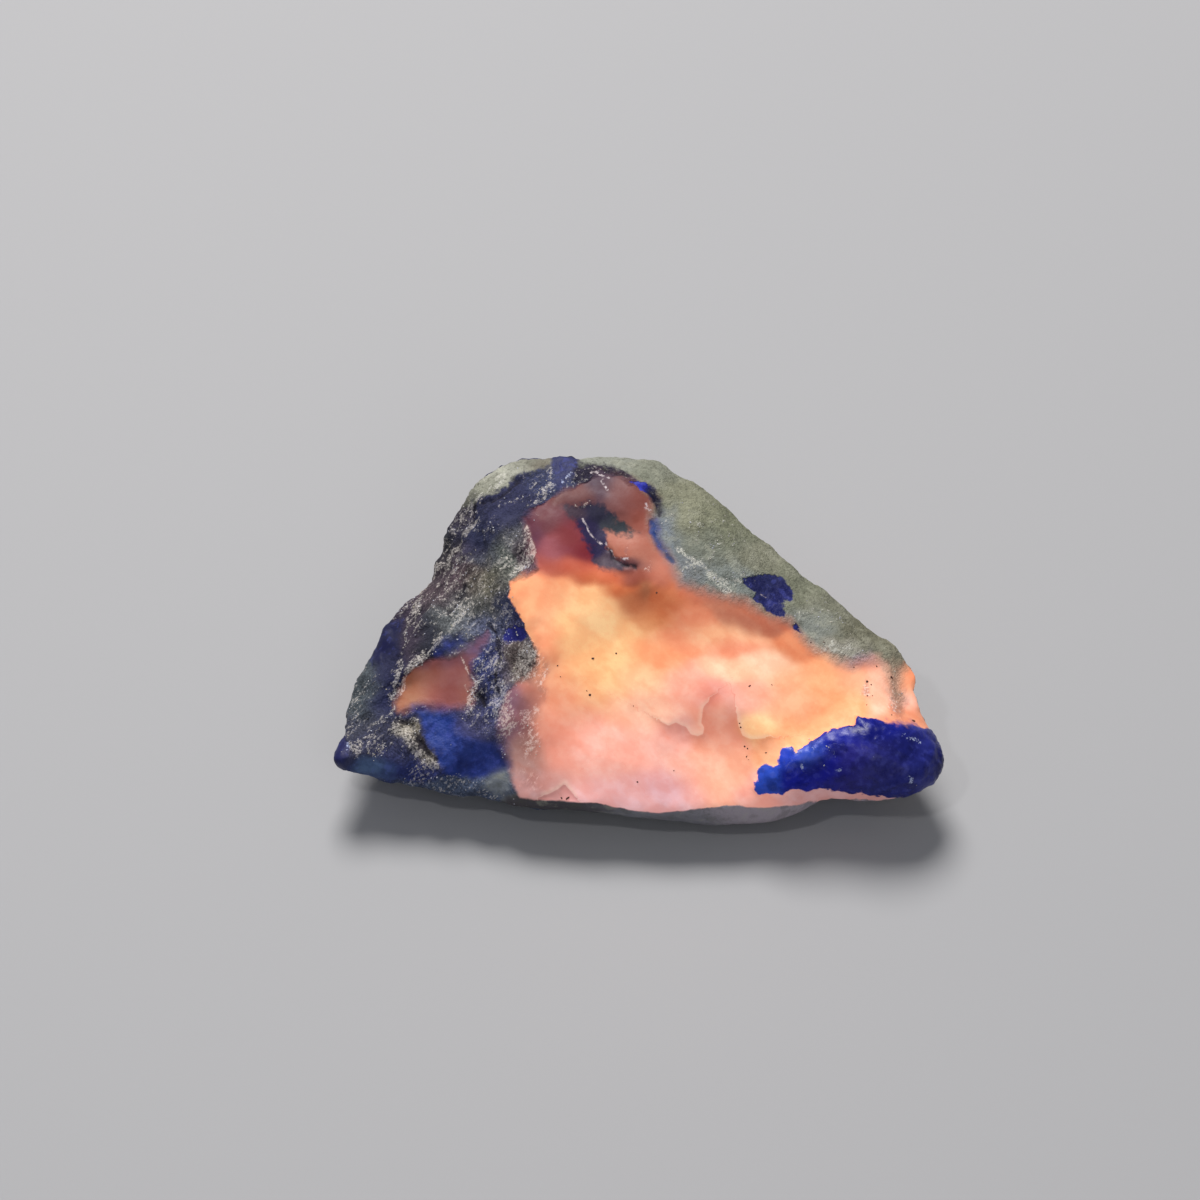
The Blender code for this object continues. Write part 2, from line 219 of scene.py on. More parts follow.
def besideLines(spots, lines):
    # distance to the nearest of the lines, above 0 on its right side
    nearest = np.full(len(spots), 1e9)
    side = np.ones(len(spots))
    x, y = spots[:, 0], spots[:, 1]
    for line in lines:
        for (ax, ay), (bx, by) in zip(line, line[1:]):
            sx, sy = bx - ax, by - ay
            along = np.clip(((x - ax) * sx + (y - ay) * sy) / (sx * sx + sy * sy), 0, 1)
            far = np.hypot(ax + along * sx - x, ay + along * sy - y)
            closer = far < nearest
            side = np.where(closer, np.sign((x - ax) * sy - (y - ay) * sx), side)
            nearest = np.where(closer, far, nearest)
    return nearest * side


def smooth(value, low, high):
    share = np.clip((value - low) / (high - low), 0, 1)
    return share * share * (3 - 2 * share)


def softColours(spots, clouds):
    # clouds are (across, up, width, height, colour): each place takes the colours of those around it
    total = np.full(len(spots), 1e-9)
    mixed = np.zeros((len(spots), 3))
    for across, up, wide, high, colour in clouds:
        far = ((spots[:, 0] - across) / wide) ** 2 + ((spots[:, 1] - up) / high) ** 2
        share = np.exp(-np.minimum(far, 40)) + 1e-7 / (1 + far)
        total += share
        mixed += share[:, None] * np.array(linear(colour))
    return mixed / total[:, None]


def softAmount(spots, clouds):
    amount = np.zeros(len(spots))
    for across, up, wide, high, most in clouds:
        far = ((spots[:, 0] - across) / wide) ** 2 + ((spots[:, 1] - up) / high) ** 2
        amount = np.maximum(amount, most * np.exp(-far * 0.7))
    return amount


# Outlines on the seen plane, in mm

warmOutlines = {
    "face": [
        (-5.70, 15.25), (-5.35, 15.50), (-4.60, 16.15), (-3.85, 16.60), (-3.10, 16.85), (-2.35, 17.25),
        (-1.85, 17.65), (-1.10, 17.50), (-0.25, 17.10), (0.40, 16.75), (0.90, 16.35), (0.75, 15.25),
        (0.90, 14.25), (1.40, 13.50), (1.75, 12.75), (2.15, 12.00), (3.15, 11.75), (4.15, 11.40),
        (5.40, 11.10), (6.15, 10.65), (6.90, 10.35), (7.65, 10.15), (8.15, 9.25), (8.75, 8.75),
        (9.65, 8.35), (10.65, 7.95), (11.25, 8.25), (11.90, 8.35), (12.30, 8.00), (12.45, 7.25),
        (12.65, 6.50), (12.95, 5.75), (13.25, 6.25), (13.10, 7.00), (13.20, 7.65), (13.55, 7.95),
        (14.15, 7.85), (15.15, 5.25), (15.90, 2.75), (14.65, 1.25), (12.40, 1.25), (11.15, 1.35),
        (8.90, 1.30), (8.15, 1.15), (7.40, 1.05), (6.40, 0.95), (5.40, 1.00), (4.40, 1.10),
        (3.15, 0.90), (2.15, 0.80), (0.90, 0.70), (-0.10, 0.80), (-0.85, 0.95), (-1.85, 1.15),
        (-3.85, 1.30), (-5.10, 1.35), (-5.85, 1.45), (-6.20, 2.25), (-6.25, 3.00), (-6.45, 3.75),
        (-6.70, 4.50), (-6.85, 5.25), (-6.75, 6.00), (-6.45, 6.65), (-5.95, 7.15), (-5.35, 7.45),
        (-5.00, 8.00), (-4.95, 8.50), (-5.10, 9.00), (-5.30, 9.45), (-5.50, 9.85), (-6.00, 10.75),
        (-6.40, 11.40), (-6.30, 12.10), (-5.85, 12.35), (-4.85, 12.75), (-5.00, 13.00), (-5.35, 13.75),
        (-5.45, 14.50),
    ],
    "window": [
        (-12.00, 6.25), (-11.85, 6.75), (-11.60, 7.25), (-11.10, 7.85), (-10.60, 8.20), (-9.85, 8.30),
        (-9.10, 8.40), (-8.60, 8.75), (-7.85, 9.40), (-7.35, 9.65), (-7.25, 9.45), (-7.60, 9.00),
        (-7.95, 8.50), (-8.25, 8.10), (-8.25, 7.25), (-8.15, 6.00), (-9.35, 5.85), (-10.35, 5.95),
        (-10.85, 6.05), (-11.45, 5.85), (-11.85, 5.65), (-12.10, 5.95),
    ],
}
pocketOutline = [
    (-3.70, 15.85), (-1.95, 16.10), (-1.35, 15.60), (-1.10, 15.25), (-0.35, 14.75), (0.00, 14.65),
    (-0.25, 14.35), (-0.95, 14.50), (-1.60, 14.60), (-1.50, 14.00), (-1.25, 13.50), (-0.60, 13.10),
    (-0.85, 12.65), (-1.85, 12.85), (-2.25, 13.25), (-2.45, 14.00), (-2.85, 14.75), (-3.45, 15.35),
]
rindOutlines = {
    "band": [
        (0.15, 17.05), (-0.60, 17.60), (-1.60, 17.95), (-2.60, 18.00), (-2.95, 18.20), (-3.00, 19.50),
        (4.15, 19.25), (16.15, 10.25), (16.15, 7.85), (13.75, 7.90), (13.35, 6.25), (13.00, 5.60),
        (12.60, 6.25), (12.15, 6.75), (11.15, 6.25), (7.15, 8.25), (3.15, 10.25), (0.65, 13.25),
        (0.15, 15.25),
    ],
    "rim": [
        (-10.35, 14.25), (-9.85, 16.25), (-8.35, 18.50), (-6.35, 19.25), (-4.20, 19.25), (-4.25, 18.00),
        (-4.60, 17.75), (-5.75, 17.65), (-6.35, 17.15), (-7.10, 16.65), (-7.95, 16.25), (-8.85, 15.75),
        (-9.35, 15.15),
    ],
    "wedge": [
        (-7.60, 2.00), (-7.25, 2.50), (-6.85, 2.85), (-6.45, 2.95), (-6.30, 2.35), (-6.35, 1.75),
        (-6.85, 1.55), (-7.35, 1.75),
    ],
    "undercut": [
        (-6.85, 1.50), (-5.10, 1.90), (-3.85, 1.90), (-0.10, 1.60), (3.15, 1.60), (5.40, 1.70),
        (8.15, 1.80), (15.00, 1.90), (15.00, -1.00), (-6.85, -1.00),
    ],
}
blueOutlines = {
    "lump": [
        (5.80, 1.75), (5.90, 2.15), (6.00, 2.75), (6.30, 3.20), (6.65, 3.05), (7.00, 3.10), (6.95, 3.45),
        (7.25, 3.85), (7.65, 4.00), (7.90, 3.75), (8.30, 4.00), (8.65, 4.25), (9.25, 4.60), (9.90, 4.90),
        (10.65, 5.05), (10.95, 5.45), (11.55, 5.30), (12.15, 5.20), (12.90, 5.10), (13.65, 5.05),
        (14.25, 4.85), (15.00, 4.70), (16.50, 4.50), (16.50, 1.40), (14.20, 1.45), (12.40, 1.50),
        (11.15, 1.65), (10.15, 1.75), (9.25, 1.95), (8.40, 1.80), (7.65, 1.85), (6.90, 1.70), (6.05, 1.65),
    ],
    "aboveWindow": [
        (-10.25, 8.50), (-9.60, 9.25), (-8.75, 9.55), (-8.45, 9.25), (-8.95, 8.65), (-9.85, 8.35),
    ],
    "belowWindow": [
        (-11.10, 5.90), (-9.85, 5.65), (-8.85, 5.50), (-8.10, 4.75), (-6.85, 4.00), (-6.35, 3.00),
        (-7.10, 2.75), (-7.85, 2.35), (-9.35, 2.50), (-9.85, 3.25), (-10.35, 4.25), (-10.85, 5.25),
    ],
    "besideFace": [
        (-6.55, 9.75), (-5.60, 9.95), (-5.45, 9.50), (-5.70, 9.20), (-6.35, 9.05), (-6.65, 9.35),
    ],
    "knob": [
        (-15.60, 2.50), (-15.35, 4.00), (-14.60, 4.50), (-14.25, 4.00), (-14.35, 3.25), (-14.60, 2.50),
    ],
    "footFacet": [
        (-14.25, 3.00), (-13.85, 3.40), (-12.85, 3.40), (-12.00, 3.00), (-12.10, 2.35), (-13.35, 2.35),
        (-14.10, 2.55),
    ],
    "bandInclusion": [
        (5.20, 12.25), (5.65, 12.40), (6.00, 12.50), (6.40, 12.55), (6.90, 12.45), (7.40, 12.15),
        (7.65, 11.75), (7.80, 11.35), (7.65, 11.15), (7.40, 11.25), (7.25, 11.10), (7.30, 10.75),
        (7.35, 10.35), (7.05, 10.35), (6.65, 10.60), (6.25, 10.85), (5.75, 11.25), (5.80, 11.60),
        (5.55, 11.85), (5.25, 12.00),
    ],
    "bandSpot": [(7.80, 10.05), (7.95, 10.15), (8.10, 9.85), (8.20, 9.55), (8.00, 9.60), (7.80, 9.80)],
    "redEdgeUpper": [
        (-0.25, 17.15), (0.40, 17.05), (0.90, 16.75), (1.20, 16.25), (1.30, 15.60), (1.05, 15.55),
        (0.90, 16.00), (0.55, 16.40), (0.15, 16.75),
    ],
    "redEdgeLower": [
        (0.60, 15.25), (1.10, 15.25), (1.20, 14.25), (1.55, 13.65), (1.90, 13.00), (1.70, 12.90),
        (1.25, 13.50), (0.85, 14.10), (0.65, 14.65),
    ],
    "topPatch": [
        (-4.25, 18.75), (-2.90, 18.75), (-2.95, 18.15), (-3.25, 17.50), (-3.55, 17.00), (-3.85, 16.65),
        (-4.10, 16.85), (-4.05, 17.50), (-4.25, 18.00),
    ],
    "shoulder": [
        (-13.45, 8.50), (-13.10, 9.25), (-12.45, 10.00), (-11.75, 10.35), (-11.75, 9.65), (-12.05, 8.75),
        (-12.60, 8.15), (-13.25, 8.00),
    ],
}
frostLines = {  # half width in mm, and the line
    "shoulderLedge": (0.13, [
        (-10.85, 11.25), (-11.35, 10.00), (-11.70, 8.75), (-11.95, 7.75), (-12.20, 6.75), (-12.25, 5.50),
    ]),
    "footRidge": (0.20, [(-11.85, 4.85), (-11.35, 4.50), (-10.85, 4.00), (-10.35, 3.40), (-10.00, 3.00)]),
    "windowSide": (0.06, [(-8.60, 8.25), (-8.25, 7.25), (-8.25, 5.50)]),
    "windowRoof": (0.10, [(-12.00, 6.60), (-11.30, 7.85), (-10.40, 8.75), (-9.90, 9.35)]),
    "knobSide": (0.12, [(-14.30, 4.25), (-14.10, 3.75), (-14.00, 3.25)]),
    "bandVein": (0.16, [
        (2.10, 13.70), (2.60, 13.30), (3.15, 13.00), (3.60, 12.50), (4.10, 12.00), (4.40, 11.75),
    ]),
    "topStreaks": (0.00, [(-3.75, 17.05), (-3.35, 17.50), (-2.85, 17.75)]),
    "topStreaksLow": (0.00, [(-3.10, 16.95), (-2.60, 17.20), (-2.35, 17.35)]),
    "bandSide": (0.04, [(-6.00, 15.10), (-5.50, 15.75), (-4.80, 16.40), (-4.00, 16.95)]),
    "redSide": (0.10, [(-5.60, 14.90), (-5.30, 14.20), (-5.15, 13.60), (-5.35, 13.00), (-6.10, 12.60)]),
    "maroonSide": (0.10, [(-10.60, 12.30), (-9.90, 12.90), (-8.90, 14.00), (-8.30, 15.10)]),
    "rimSide": (0.08, [(-8.30, 15.90), (-7.30, 16.90), (-6.60, 17.40)]),
    # redGlints: a painted glint, a short white streak standing for highlights
    "redGlints": (0.00, [(-3.10, 15.85), (-2.75, 15.85), (-2.45, 16.15)]),
}
whiteLines = {
    "pocketCrack": (0.05, [(-2.70, 15.25), (-2.25, 14.50), (-1.85, 14.00)]),
    "pocketLip": (0.03, [(-1.60, 14.00), (-1.10, 13.35), (-0.35, 13.25)]),
    "inclusionLine": (0.03, [(5.70, 11.60), (6.00, 11.50), (6.40, 11.35)]),
    "redFold": (0.03, [(-1.80, 17.20), (-1.60, 16.85), (-1.50, 16.60)]),
    # redGlint: a painted glint, a white streak standing for a highlight
    "redGlint": (0.04, [(0.40, 16.00), (0.50, 15.75), (0.65, 15.65)]),
    "topEdge": (0.04, [(-2.30, 17.55), (-1.90, 17.50), (-1.40, 17.30)]),
}
# cracks and ledge edges, pressed into the relief; the near-black laid along them is painted shade
crackShadeLines = {
    "ledgeShadow": (0.10, [(-8.45, 11.75), (-9.10, 11.10), (-9.60, 10.65)]),
    "besideFinger": (0.10, [(-7.20, 9.95), (-6.95, 9.25), (-7.00, 7.80), (-6.90, 6.60)]),
    "footLedge": (0.12, [(-11.70, 5.35), (-10.60, 4.30), (-9.95, 3.45)]),
    "windowCorner": (0.12, [(-7.95, 6.60), (-7.75, 6.10)]),
    "rimShadow": (0.10, [(-8.05, 16.00), (-8.35, 15.25)]),
    "topShadow": (0.07, [(-6.10, 17.25), (-6.60, 16.50), (-7.60, 16.00)]),
    "bandShadow": (0.06, [(-2.65, 17.95), (-1.85, 17.85), (-1.00, 17.55), (-0.55, 17.40)]),
    "redShadow": (0.12, [(0.65, 16.65), (1.15, 16.00), (1.20, 15.60)]),
    "wineStreak": (0.10, [(-1.60, 13.70), (-1.25, 13.35), (-0.75, 13.00), (-0.20, 12.60)]),
}
chipLines = {  # broken edges in the orange face: the deeper side, with painted shade, is on the line's right, and a thin painted highlight runs along the other side
    "middle": [
        (1.20, 5.20), (1.55, 5.00), (1.90, 5.15), (2.40, 4.95), (2.65, 4.60), (3.00, 4.50), (3.25, 4.60),
        (3.30, 4.90), (3.15, 5.15), (3.20, 5.45), (3.25, 5.95), (3.45, 6.15),
    ],
    "yellow": [(4.90, 5.60), (5.00, 5.00), (5.20, 4.50), (5.65, 4.35), (6.30, 4.40)],
    "front": [(-4.60, 1.55), (-3.95, 1.85), (-3.60, 2.15), (-3.40, 1.90), (-3.15, 1.60)],
}
softBorders = [  # across, up, width, height in mm: where one mineral fades into the next
    (-10.0, 5.9, 2.0, 0.8, 1.0), (-7.9, 7.2, 0.5, 1.1, 0.7), (-7.4, 3.8, 1.8, 1.3, 1.0),
    (-9.2, 9.0, 1.4, 0.7, 0.9), (-6.6, 4.0, 0.6, 1.8, 0.7), (-5.5, 13.9, 0.6, 1.6, 0.7),
    (1.2, 14.8, 0.4, 1.5, 0.6), (-10.3, 5.2, 0.6, 1.2, 0.5), (-3.7, 17.3, 0.8, 0.8, 0.5),
    (13.2, 6.5, 0.9, 1.6, 0.7), (-12.6, 9.2, 1.2, 1.2, 1.0), (-13.2, 2.9, 1.4, 0.6, 0.9), (-5.2, 6.8, 0.6, 1.2, 0.8),
]
calmPlaces = [  # where the surface is smooth
    (-3.9, 0.9, 3.5, 0.7, 1.0), (0.7, 0.3, 3.5, 0.7, 1.0), (6.2, 0.6, 3.0, 0.6, 1.0), (-6.9, 2.3, 0.7, 0.7, 0.9),
    (-12.8, 2.9, 1.6, 0.5, 0.8), (-12.6, 9.0, 1.0, 0.9, 0.8), (-15.0, 3.5, 0.6, 0.9, 0.8),
    (2.0, 13.4, 0.7, 1.6, 0.5), (8.9, 9.8, 1.0, 0.7, 0.5),
]

# Soft clouds of colour on the seen plane: across, up, width and height in mm, and the colour as the eye reads it

honey, pale, peach, apricot = (253, 202, 143), (255, 214, 168), (251, 193, 158), (250, 173, 124)
rose, lilac, clay, rust = (248, 184, 168), (222, 172, 174), (232, 152, 112), (206, 120, 78)
crimson, maroon, brick, mauve = (132, 52, 60), (128, 72, 72), (150, 82, 70), (168, 108, 104)
warmClouds = [
    (-2.85, 10.0, 1.7, 1.3, (254, 206, 150)), (-1.85, 7.9, 1.8, 1.5, honey), (-4.85, 11.3, 1.3, 0.9, (250, 168, 122)),
    (-4.5, 9.2, 0.6, 1.6, (232, 152, 118)), (-3.7, 6.3, 1.3, 1.5, (242, 164, 130)),
    (-3.9, 4.7, 1.0, 1.2, (236, 160, 140)), (-1.85, 3.8, 1.9, 1.3, rose), (0.15, 1.7, 2.4, 0.8, (238, 186, 188)),
    (1.4, 2.0, 0.9, 0.6, (214, 166, 176)), (2.7, 2.8, 1.2, 0.8, (252, 190, 170)), (3.9, 2.6, 0.9, 1.1, (252, 188, 156)),
    (2.15, 4.5, 0.9, 0.7, (232, 170, 156)), (4.0, 5.0, 0.8, 1.0, (236, 172, 150)), (0.1, 6.0, 1.3, 0.9, (253, 196, 166)),
    (0.2, 7.3, 1.0, 0.6, (254, 204, 156)), (0.7, 8.3, 0.9, 0.8, (244, 166, 122)), (3.9, 6.6, 0.9, 0.5, (228, 154, 142)),
    (2.2, 6.8, 1.0, 0.7, (250, 178, 156)), (5.4, 7.8, 1.2, 0.5, (254, 208, 174)), (4.6, 8.9, 0.8, 0.4, (244, 158, 124)),
    (5.4, 6.5, 1.2, 0.6, (252, 184, 164)), (3.7, 9.5, 1.3, 0.5, (254, 194, 150)), (3.2, 3.9, 0.5, 1.0, (238, 168, 138)),
    (2.2, 9.3, 0.8, 0.5, (240, 156, 118)), (2.7, 10.4, 0.9, 0.5, (240, 158, 122)), (5.9, 5.0, 0.7, 0.5, (254, 210, 156)),
    (6.6, 3.9, 0.5, 0.5, (248, 184, 140)), (7.6, 6.3, 1.5, 0.9, (250, 186, 144)), (8.2, 5.0, 1.0, 0.7, (244, 176, 128)),
    (9.7, 6.9, 1.2, 0.9, apricot), (10.7, 7.3, 0.7, 0.5, (248, 176, 140)), (9.9, 5.8, 0.9, 0.5, (242, 164, 114)),
    # the browner clouds along the upper crease, in this row and the next two, are painted shade where the face turns up
    # into the band
    (12.0, 6.9, 0.5, 0.9, (250, 192, 166)), (1.2, 11.0, 1.2, 0.7, (206, 118, 76)), (0.1, 11.2, 0.8, 0.6, (196, 112, 72)),
    (0.9, 10.3, 0.8, 0.4, (216, 138, 90)), (6.2, 10.1, 1.3, 0.4, (184, 112, 88)), (4.4, 10.9, 1.3, 0.4, (190, 118, 92)),
    (2.9, 11.6, 0.8, 0.4, (196, 122, 98)), (8.2, 9.0, 0.8, 0.5, (222, 140, 100)), (11.1, 8.1, 0.9, 0.35, (206, 150, 134)),
    (13.8, 7.0, 0.4, 0.7, (240, 160, 120)), (13.6, 6.2, 0.3, 0.4, (252, 196, 176)), (13.2, 5.5, 0.9, 0.3, (212, 144, 112)),
    (9.2, 1.5, 2.6, 0.35, (206, 160, 160)), (6.2, 1.7, 0.9, 0.5, (246, 178, 162)), (12.4, 1.4, 1.0, 0.3, (198, 156, 158)),
    (-5.9, 5.6, 0.5, 1.0, (148, 104, 120)), (-5.4, 3.6, 0.7, 1.0, (186, 142, 134)), (-5.1, 6.6, 0.5, 0.7, (176, 112, 104)),
    (-6.4, 5.6, 0.3, 1.0, (138, 104, 130)), (-4.5, 2.2, 1.0, 0.7, (208, 156, 150)), (-5.4, 1.9, 0.7, 0.5, (202, 160, 160)),
    (-5.2, 14.6, 0.5, 0.9, (102, 58, 78)), (-4.4, 15.3, 0.8, 0.5, (108, 58, 70)), (-3.2, 16.5, 1.0, 0.4, (112, 74, 76)),
    (-1.9, 16.9, 0.5, 0.6, (74, 54, 74)), (-0.9, 16.4, 0.6, 0.7, (118, 78, 80)), (-0.1, 15.9, 0.7, 0.7, (132, 76, 70)),
    (0.2, 15.1, 0.5, 0.5, (148, 80, 66)), (-3.5, 14.3, 0.6, 0.6, (132, 58, 66)), (-2.9, 13.6, 0.6, 0.5, (128, 44, 58)),
    (-4.3, 13.7, 0.6, 0.5, (160, 88, 98)), (-4.7, 13.0, 0.9, 0.4, (178, 96, 92)), (-3.4, 12.8, 1.0, 0.35, (196, 100, 76)),
    (-1.9, 12.4, 0.9, 0.3, (196, 98, 62)), (-0.9, 11.7, 0.6, 0.3, (206, 106, 62)), (-0.7, 14.0, 0.6, 0.4, (178, 112, 94)),
    (0.5, 13.5, 0.6, 0.7, (172, 106, 88)), (1.1, 12.6, 0.5, 0.6, (190, 114, 92)), (-0.6, 12.9, 0.6, 0.3, (96, 58, 66)),
    (0.0, 12.3, 0.5, 0.25, (150, 80, 66)), (0.35, 11.55, 0.3, 0.35, (164, 122, 92)),
    (-11.3, 7.0, 0.6, 0.7, (168, 114, 86)), (-10.3, 7.3, 0.8, 0.7, (164, 104, 90)), (-9.3, 7.0, 0.8, 0.9, (158, 98, 98)),
    (-8.5, 6.7, 0.4, 0.8, (160, 108, 100)), (-7.7, 9.1, 0.5, 0.4, (126, 96, 128)), (-10.2, 8.2, 1.4, 0.3, (122, 78, 92)),
]
rockClouds = [
    (-9.9, 14.0, 0.6, 1.8, (52, 54, 60)), (-6.6, 16.8, 1.3, 0.6, (48, 50, 84)), (-6.4, 15.5, 1.0, 0.6, (50, 52, 84)),
    (-8.0, 14.2, 0.9, 0.7, (50, 54, 86)), (-4.6, 17.0, 1.0, 0.5, (60, 66, 100)), (-8.9, 15.2, 0.4, 0.7, (66, 60, 74)),
    (-6.0, 14.4, 0.5, 0.6, (112, 112, 116)), (-6.6, 13.2, 0.6, 0.7, (104, 110, 104)), (-8.0, 13.3, 0.8, 0.3, (92, 96, 110)),
    (-7.4, 12.2, 0.9, 0.7, (120, 116, 100)), (-8.9, 12.6, 1.0, 0.9, (92, 74, 84)), (-10.1, 11.6, 0.7, 0.6, (92, 76, 84)),
    (-5.6, 13.6, 0.35, 0.8, (112, 90, 104)), (-8.6, 11.4, 0.4, 0.5, (30, 28, 38)), (-9.0, 10.4, 0.9, 0.8, (118, 122, 124)),
    (-7.9, 10.9, 0.8, 0.6, (112, 112, 108)), (-7.6, 10.0, 0.9, 0.5, (104, 110, 142)), (-6.5, 10.9, 0.5, 0.9, (70, 76, 116)),
    (-12.7, 9.0, 0.8, 0.9, (30, 32, 64)), (-11.4, 9.8, 0.6, 1.0, (66, 56, 72)), (-10.4, 9.6, 0.5, 0.8, (44, 46, 60)),
    (-13.6, 6.9, 0.6, 1.3, (84, 92, 98)), (-12.7, 7.6, 0.4, 0.8, (40, 42, 74)), (-12.5, 6.2, 0.7, 0.9, (40, 44, 84)),
    (-13.4, 5.0, 0.8, 0.5, (72, 74, 92)), (-13.0, 4.2, 1.1, 0.5, (60, 62, 90)), (-11.7, 3.7, 0.7, 0.4, (62, 66, 108)),
    (-10.9, 2.8, 1.2, 0.5, (42, 52, 112)), (-10.4, 4.3, 0.4, 0.6, (56, 50, 56)), (-11.4, 4.6, 0.4, 0.4, (136, 128, 110)),
    (-10.2, 3.4, 0.4, 0.4, (134, 124, 106)), (-7.1, 7.2, 0.5, 1.4, (66, 74, 130)), (-7.7, 6.6, 0.3, 0.6, (38, 38, 62)),
    (-6.6, 5.6, 0.4, 1.0, (96, 96, 134)), (-6.0, 8.3, 0.7, 0.9, (126, 112, 108)), (-5.8, 9.9, 0.4, 0.5, (58, 60, 104)),
    (-7.9, 5.0, 0.9, 0.5, (84, 84, 124)), (-7.9, 3.3, 1.2, 0.5, (40, 50, 110)), (-9.0, 2.0, 2.2, 0.3, (84, 96, 122)),
    (-1.6, 15.6, 0.6, 0.4, (40, 38, 62)), (-0.8, 14.9, 0.6, 0.3, (50, 56, 64)), (-2.4, 14.4, 0.4, 0.7, (42, 34, 74)),
    (-1.5, 13.0, 0.5, 0.35, (76, 60, 76)), (-3.3, 15.5, 0.4, 0.3, (70, 54, 68)), (-2.4, 17.6, 0.6, 0.4, (44, 38, 60)),
]
rindClouds = [
    (-6.6, 17.6, 1.0, 0.5, (178, 178, 166)), (-7.4, 17.0, 0.8, 0.5, (150, 150, 136)), (-8.9, 16.0, 0.7, 0.7, (104, 104, 96)),
    (-5.8, 18.2, 0.8, 0.4, (142, 142, 130)), (-4.9, 17.9, 0.6, 0.4, (118, 112, 100)),
    (-1.4, 18.2, 1.1, 0.4, (144, 146, 136)), (0.7, 17.7, 0.9, 0.5, (134, 136, 122)),
    (3.0, 15.5, 0.8, 0.8, (146, 146, 124)), (4.2, 15.0, 1.0, 0.9, (124, 126, 104)), (2.2, 16.6, 0.9, 0.5, (132, 132, 112)),
    (3.3, 14.0, 1.2, 0.6, (118, 122, 112)), (1.6, 13.8, 0.4, 1.1, (124, 132, 142)), (2.4, 12.7, 0.7, 0.6, (132, 136, 140)),
    (4.7, 12.2, 1.1, 0.6, (134, 140, 136)), (6.2, 13.2, 0.9, 0.5, (134, 134, 116)), (8.2, 12.0, 0.9, 0.7, (124, 126, 108)),
    (9.4, 10.9, 0.9, 0.6, (124, 124, 108)), (8.7, 10.2, 0.8, 0.5, (138, 142, 136)), (11.3, 9.7, 0.9, 0.6, (118, 116, 98)),
    (10.1, 8.8, 0.9, 0.35, (168, 164, 152)), (11.2, 8.3, 0.5, 0.25, (154, 142, 156)), (12.9, 8.6, 0.8, 0.4, (136, 134, 116)),
    (12.8, 6.8, 0.3, 1.1, (186, 150, 128)), (-6.9, 2.3, 0.6, 0.6, (132, 138, 146)),
    (-4.2, 1.0, 2.0, 0.4, (76, 72, 78)), (0.7, 0.3, 2.5, 0.6, (128, 128, 136)), (6.2, 0.7, 2.0, 0.5, (168, 158, 168)),
]
blueClouds = [
    (6.4, 2.4, 0.5, 0.6, (48, 84, 206)), (7.3, 3.4, 0.4, 0.4, (40, 72, 210)), (7.8, 2.2, 0.5, 0.5, (18, 30, 170)),
    (8.6, 3.8, 0.5, 0.5, (56, 86, 200)), (9.3, 2.9, 0.6, 0.9, (20, 26, 158)), (10.6, 3.5, 0.7, 0.7, (48, 46, 146)),
    (9.9, 4.5, 0.7, 0.4, (18, 32, 158)), (11.4, 4.7, 1.1, 0.4, (10, 22, 128)), (12.0, 3.2, 0.8, 0.8, (48, 50, 134)),
    (10.3, 2.3, 0.8, 0.4, (34, 32, 128)), (13.2, 3.9, 0.6, 0.5, (26, 32, 112)),
    (14.2, 3.2, 0.7, 1.2, (40, 46, 130)), (12.6, 2.0, 1.1, 0.4, (32, 38, 120)), (15.0, 3.0, 0.3, 1.0, (26, 28, 84)),
    (-10.1, 5.0, 0.6, 0.7, (30, 58, 138)), (-9.2, 4.0, 0.8, 0.7, (32, 56, 134)), (-7.8, 3.4, 0.9, 0.5, (36, 54, 128)),
    (-8.1, 4.9, 0.7, 0.4, (84, 84, 130)), (-9.3, 8.9, 0.7, 0.4, (40, 52, 116)), (-6.0, 9.5, 0.6, 0.5, (42, 44, 124)),
    (-14.7, 3.5, 0.5, 1.0, (30, 32, 80)), (-13.3, 2.9, 0.8, 0.4, (78, 102, 140)), (-12.1, 2.8, 0.5, 0.4, (58, 76, 122)),
    (6.2, 11.9, 1.0, 0.4, (34, 38, 84)), (7.2, 11.4, 0.5, 0.4, (24, 28, 88)), (6.9, 10.7, 0.5, 0.4, (26, 30, 92)),
    (0.9, 16.2, 0.3, 0.5, (24, 24, 44)), (0.3, 16.9, 0.3, 0.2, (44, 50, 170)), (0.8, 14.7, 0.3, 0.5, (34, 56, 112)),
    (1.6, 13.3, 0.3, 0.4, (66, 74, 108)), (-3.7, 17.9, 0.6, 0.6, (46, 50, 92)), (-12.6, 9.0, 0.7, 0.9, (28, 30, 62)),
]
